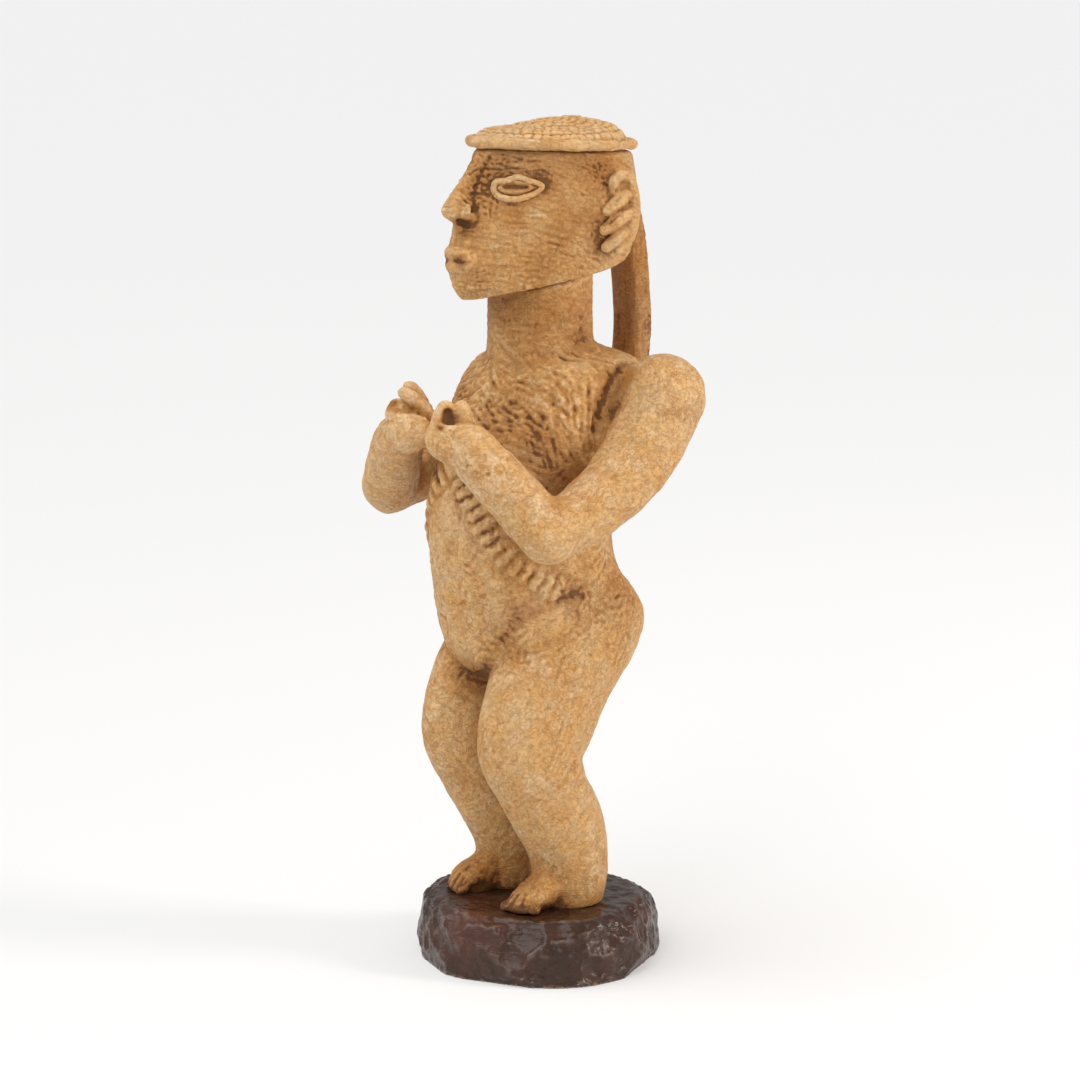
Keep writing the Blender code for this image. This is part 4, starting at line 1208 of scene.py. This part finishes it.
# %% Pale figure paint
def pale_paint():
    made, tree = material("pale_figure")
    wash = node(tree, "ShaderNodeAttribute", attribute_name="wash").outputs["Fac"]
    patches = noise(tree, 38, 3)
    blots = noise(tree, 120, 5, seed=0.3)
    specks = noise(tree, 900, 4, roughness=0.7, seed=0.7)
    grain = noise(tree, 420, 6, stretch=(1, 1, 0.35), roughness=0.7)

    ivory = ramp(tree, patches,
                 (0.34, (0.50, 0.245, 0.075)), (0.5, (0.64, 0.36, 0.135)), (0.64, (0.73, 0.46, 0.215)))
    mottled = ramp(tree, blots, (0.36, 0.80), (0.52, 1.0), (0.68, 1.08))
    base = blend_colours(tree, 0.9, ivory, mottled, "MULTIPLY")

    streaks = noise(tree, 330, 5, stretch=(1, 1, 2.6), roughness=0.65, seed=0.9)
    uneven = spread_about(tree, blots, 1.4)
    patchy = spread_about(tree, patches, 1.3)
    grainy = math_node(
        tree, "ADD", spread_about(tree, specks, 0.25), spread_about(tree, streaks, 0.5))
    mixed = math_node(tree, "ADD", uneven, math_node(tree, "ADD", patchy, grainy))
    wash_and_shade_level = math_node(tree, "ADD", wash, mixed)
    veins = math_node(tree, "MAXIMUM", creased(tree, 210, 0.15), creased(tree, 380, 0.65))
    wash_and_shade_level = math_node(tree, "ADD", wash_and_shade_level, math_node(tree, "MULTIPLY", veins, 0.17))
    light_wash_and_shade = ramp(tree, wash_and_shade_level, (0.04, 0.0), (0.38, 0.6), (0.85, 1.0))
    dark_wash_and_shade = ramp(tree, wash_and_shade_level, (0.74, 0.0), (1.0, 0.7))
    # Brown from the wash level: brown wash, and painted shade where the spots put it.
    colour = blend_colours(tree, math_node(tree, "MULTIPLY", light_wash_and_shade, 0.8), base, (0.315, 0.112, 0.019))
    colour = blend_colours(tree, dark_wash_and_shade, colour, (0.085, 0.034, 0.013))
    # Rubbed wear and painted highlight: where the level is below nought, on the ridges and the crown, the
    # colour turns paler.
    rubbed_and_highlight = ramp(tree, math_node(tree, "MULTIPLY", wash_and_shade_level, -1.0), (0.0, 0.0), (0.55, 1.0))
    colour = blend_colours(tree, math_node(tree, "MULTIPLY", rubbed_and_highlight, 0.8), colour, (0.84, 0.585, 0.33))

    strokes = noise(tree, 260, 5, stretch=(1, 1, 5), roughness=0.6, seed=0.5)
    lines = math_node(tree, "ADD", math_node(tree, "MULTIPLY", strokes, 0.8), grain)
    lines = math_node(tree, "SUBTRACT", lines, math_node(tree, "MULTIPLY", veins, 0.35))
    rough = node(tree, "ShaderNodeBump", {"Height": lines, "Strength": 0.75, "Distance": 0.0009})
    fine = node(tree, "ShaderNodeBump", {
        "Height": specks, "Strength": 0.25, "Distance": 0.0003, "Normal": rough.outputs["Normal"]})
    sheen = ramp(tree, blots, (0.3, 0.42), (0.7, 0.62))
    shader = node(tree, "ShaderNodeBsdfPrincipled", {
        "Base Color": colour, "Roughness": sheen, "Normal": fine.outputs["Normal"],
        "Specular IOR Level": 0.22})
    node(tree, "ShaderNodeOutputMaterial", {"Surface": shader.outputs["BSDF"]})
    return made


# %% [markdown]
# The plinth's paint is a thick dark brown gloss with a reddish ground that shows where it is thin. It
# is worn to a greyer brown along the edges of the flats, and the same greyer colour is also a painted
# sheen on the ridges. By the bottom edge a few chips show the cream beneath.


# %% Brown plinth paint
def brown_paint():
    made, tree = material("brown_plinth")
    worn = node(tree, "ShaderNodeAttribute", attribute_name="worn").outputs["Fac"]
    patches = noise(tree, 26, 3, seed=0.2)
    blots = noise(tree, 110, 5, seed=0.4)
    specks = noise(tree, 700, 4, roughness=0.7)
    scratches = noise(tree, 300, 4, stretch=(0.25, 0.25, 2.2), roughness=0.6, seed=0.6)
    ground = ramp(tree, patches, (0.38, (0.028, 0.012, 0.006)), (0.54, (0.044, 0.017, 0.009)),
                  (0.72, (0.080, 0.025, 0.012)))
    mottled = ramp(tree, blots, (0.3, 0.75), (0.7, 1.3))
    colour = blend_colours(tree, 1.0, ground, mottled, "MULTIPLY")
    wear_and_sheen_edge = math_node(tree, "ADD", worn, math_node(tree, "MULTIPLY",
                           math_node(tree, "SUBTRACT", blots, 0.5), 1.2))
    # Greyer brown on the ridges: worn paint and painted sheen together.
    edge = ramp(tree, wear_and_sheen_edge, (0.3, 0.0), (1.0, 1.0))
    colour = blend_colours(tree, math_node(tree, "MULTIPLY", edge, 0.5), colour, (0.15, 0.105, 0.082))
    chipped = math_node(tree, "ADD", worn, math_node(tree, "MULTIPLY",
                        math_node(tree, "SUBTRACT", specks, 0.5), 3.0))
    place = node(tree, "ShaderNodeTexCoord").outputs["Object"]
    upward = node(tree, "ShaderNodeSeparateXYZ", {0: place}).outputs["Z"]
    low = ramp(tree, math_node(tree, "MULTIPLY", upward, 100.0), (0.2, 1.0), (0.7, 0.0))
    chips = math_node(tree, "MULTIPLY", ramp(tree, chipped, (0.985, 0.0), (0.995, 1.0)), low)
    colour = blend_colours(tree, math_node(tree, "MULTIPLY", chips, 0.6), colour, (0.42, 0.30, 0.20))
    height = math_node(tree, "ADD", math_node(tree, "MULTIPLY", blots, 0.8),
                       math_node(tree, "MULTIPLY", scratches, 0.5))
    bump = node(tree, "ShaderNodeBump", {"Height": height, "Strength": 0.8, "Distance": 0.0014})
    fine = node(tree, "ShaderNodeBump", {
        "Height": specks, "Strength": 0.2, "Distance": 0.0002, "Normal": bump.outputs["Normal"]})
    gloss = ramp(tree, blots, (0.3, 0.19), (0.7, 0.36))
    shader = node(tree, "ShaderNodeBsdfPrincipled", {
        "Base Color": colour, "Roughness": gloss, "Normal": fine.outputs["Normal"],
        "Specular IOR Level": 0.36, "Coat Weight": 0.05, "Coat Roughness": 0.16})
    node(tree, "ShaderNodeOutputMaterial", {"Surface": shader.outputs["BSDF"]})
    return made


# %% [markdown]
# The pegs that hold the limbs are hidden, but they are pieces too: turned from plain wood, with grain
# that runs along them and a ring here and there.


# %% Peg wood
def peg_wood():
    made, tree = material("dowel_wood")
    grain = noise(tree, 500, 5, stretch=(1, 1, 0.12), roughness=0.65)
    rings = noise(tree, 120, 2, stretch=(1, 1, 0.08), seed=0.2)
    banded = math_node(tree, "FRACT", math_node(tree, "MULTIPLY", rings, 9.0), 0.0)
    colour = ramp(tree, banded, (0.0, (0.50, 0.30, 0.15)), (0.7, (0.62, 0.41, 0.22)),
                  (1.0, (0.40, 0.22, 0.10)))
    colour = blend_colours(tree, 0.5, colour, ramp(tree, grain, (0.3, 0.6), (0.7, 1.2)), "MULTIPLY")
    bump = node(tree, "ShaderNodeBump", {"Height": grain, "Strength": 0.4, "Distance": 0.0003})
    shader = node(tree, "ShaderNodeBsdfPrincipled", {
        "Base Color": colour, "Roughness": 0.7, "Normal": bump.outputs["Normal"]})
    node(tree, "ShaderNodeOutputMaterial", {"Surface": shader.outputs["BSDF"]})
    return made


figure_paint = pale_paint()
plinth_paint = brown_paint()
wood = peg_wood()
for name, solid in frame["nodes"].items():
    if name.endswith("dowel"):
        solid.data.materials.clear()
        solid.data.materials.append(wood)
for piece in bpy.data.objects:
    if piece.type == "MESH" and piece.name.endswith("_skin"):
        piece.data.materials.clear()
        piece.data.materials.append(plinth_paint if piece is plinth else figure_paint)
print("painted the figure and the plinth")

# %% [markdown]
# The studio: a pale floor that runs on without an edge under a white sky, a wide soft sun from the
# front, and a weak one from the side. Two small lamps put the gleam on the plinth. The floor carries
# a little light of its own, so that shadows on it stay faint.

# %% Studio
bpy.ops.mesh.primitive_plane_add(size=60, location=(0, 0, 0))
floor = added("floor")
paper, tree = material("paper")
shader = node(tree, "ShaderNodeBsdfPrincipled", {
    "Base Color": (0.56, 0.56, 0.56, 1.0), "Roughness": 0.9, "Specular IOR Level": 0.1,
    "Emission Color": (1.0, 1.0, 1.0, 1.0), "Emission Strength": 0.315})
node(tree, "ShaderNodeOutputMaterial", {"Surface": shader.outputs["BSDF"]})
floor.data.materials.append(paper)

world = bpy.data.worlds.new("studio")
bpy.context.scene.world = world
world.use_nodes = True
world.node_tree.nodes["Background"].inputs["Color"].default_value = (1.0, 1.0, 1.0, 1.0)
world.node_tree.nodes["Background"].inputs["Strength"].default_value = 0.43


def lamp(name, place, aim, size, power, tint=(1, 1, 1)):
    light = bpy.data.lights.new(name, "AREA")
    light.size = size
    light.energy = power
    light.color = tint
    made = bpy.data.objects.new(name, light)
    bpy.context.scene.collection.objects.link(made)
    made.location = place
    made.rotation_euler = (Vector(aim) - Vector(place)).to_track_quat("-Z", "Y").to_euler()
    return made


def sun(name, power, turn, height, spread):
    """A far lamp, round from the figure's front by turn and up by height, in degrees."""
    light = bpy.data.lights.new(name, "SUN")
    light.energy = power
    light.angle = math.radians(spread)
    made = bpy.data.objects.new(name, light)
    bpy.context.scene.collection.objects.link(made)
    made.rotation_euler = (math.radians(90 - height), 0, math.radians(turn))
    return made


AIM = (0, 0, 0.17)
sun("key", 2.05, -14, 58, 70)
sun("fill", 0.12, 115, 60, 80)
lamp("gleam", (0.6, -1.0, 0.9), AIM, 0.35, 2.5)
lamp("edge", (1.2, 0.9, 0.7), (0, 0, 0.02), 0.4, 14.0, (1.0, 0.9, 0.8))
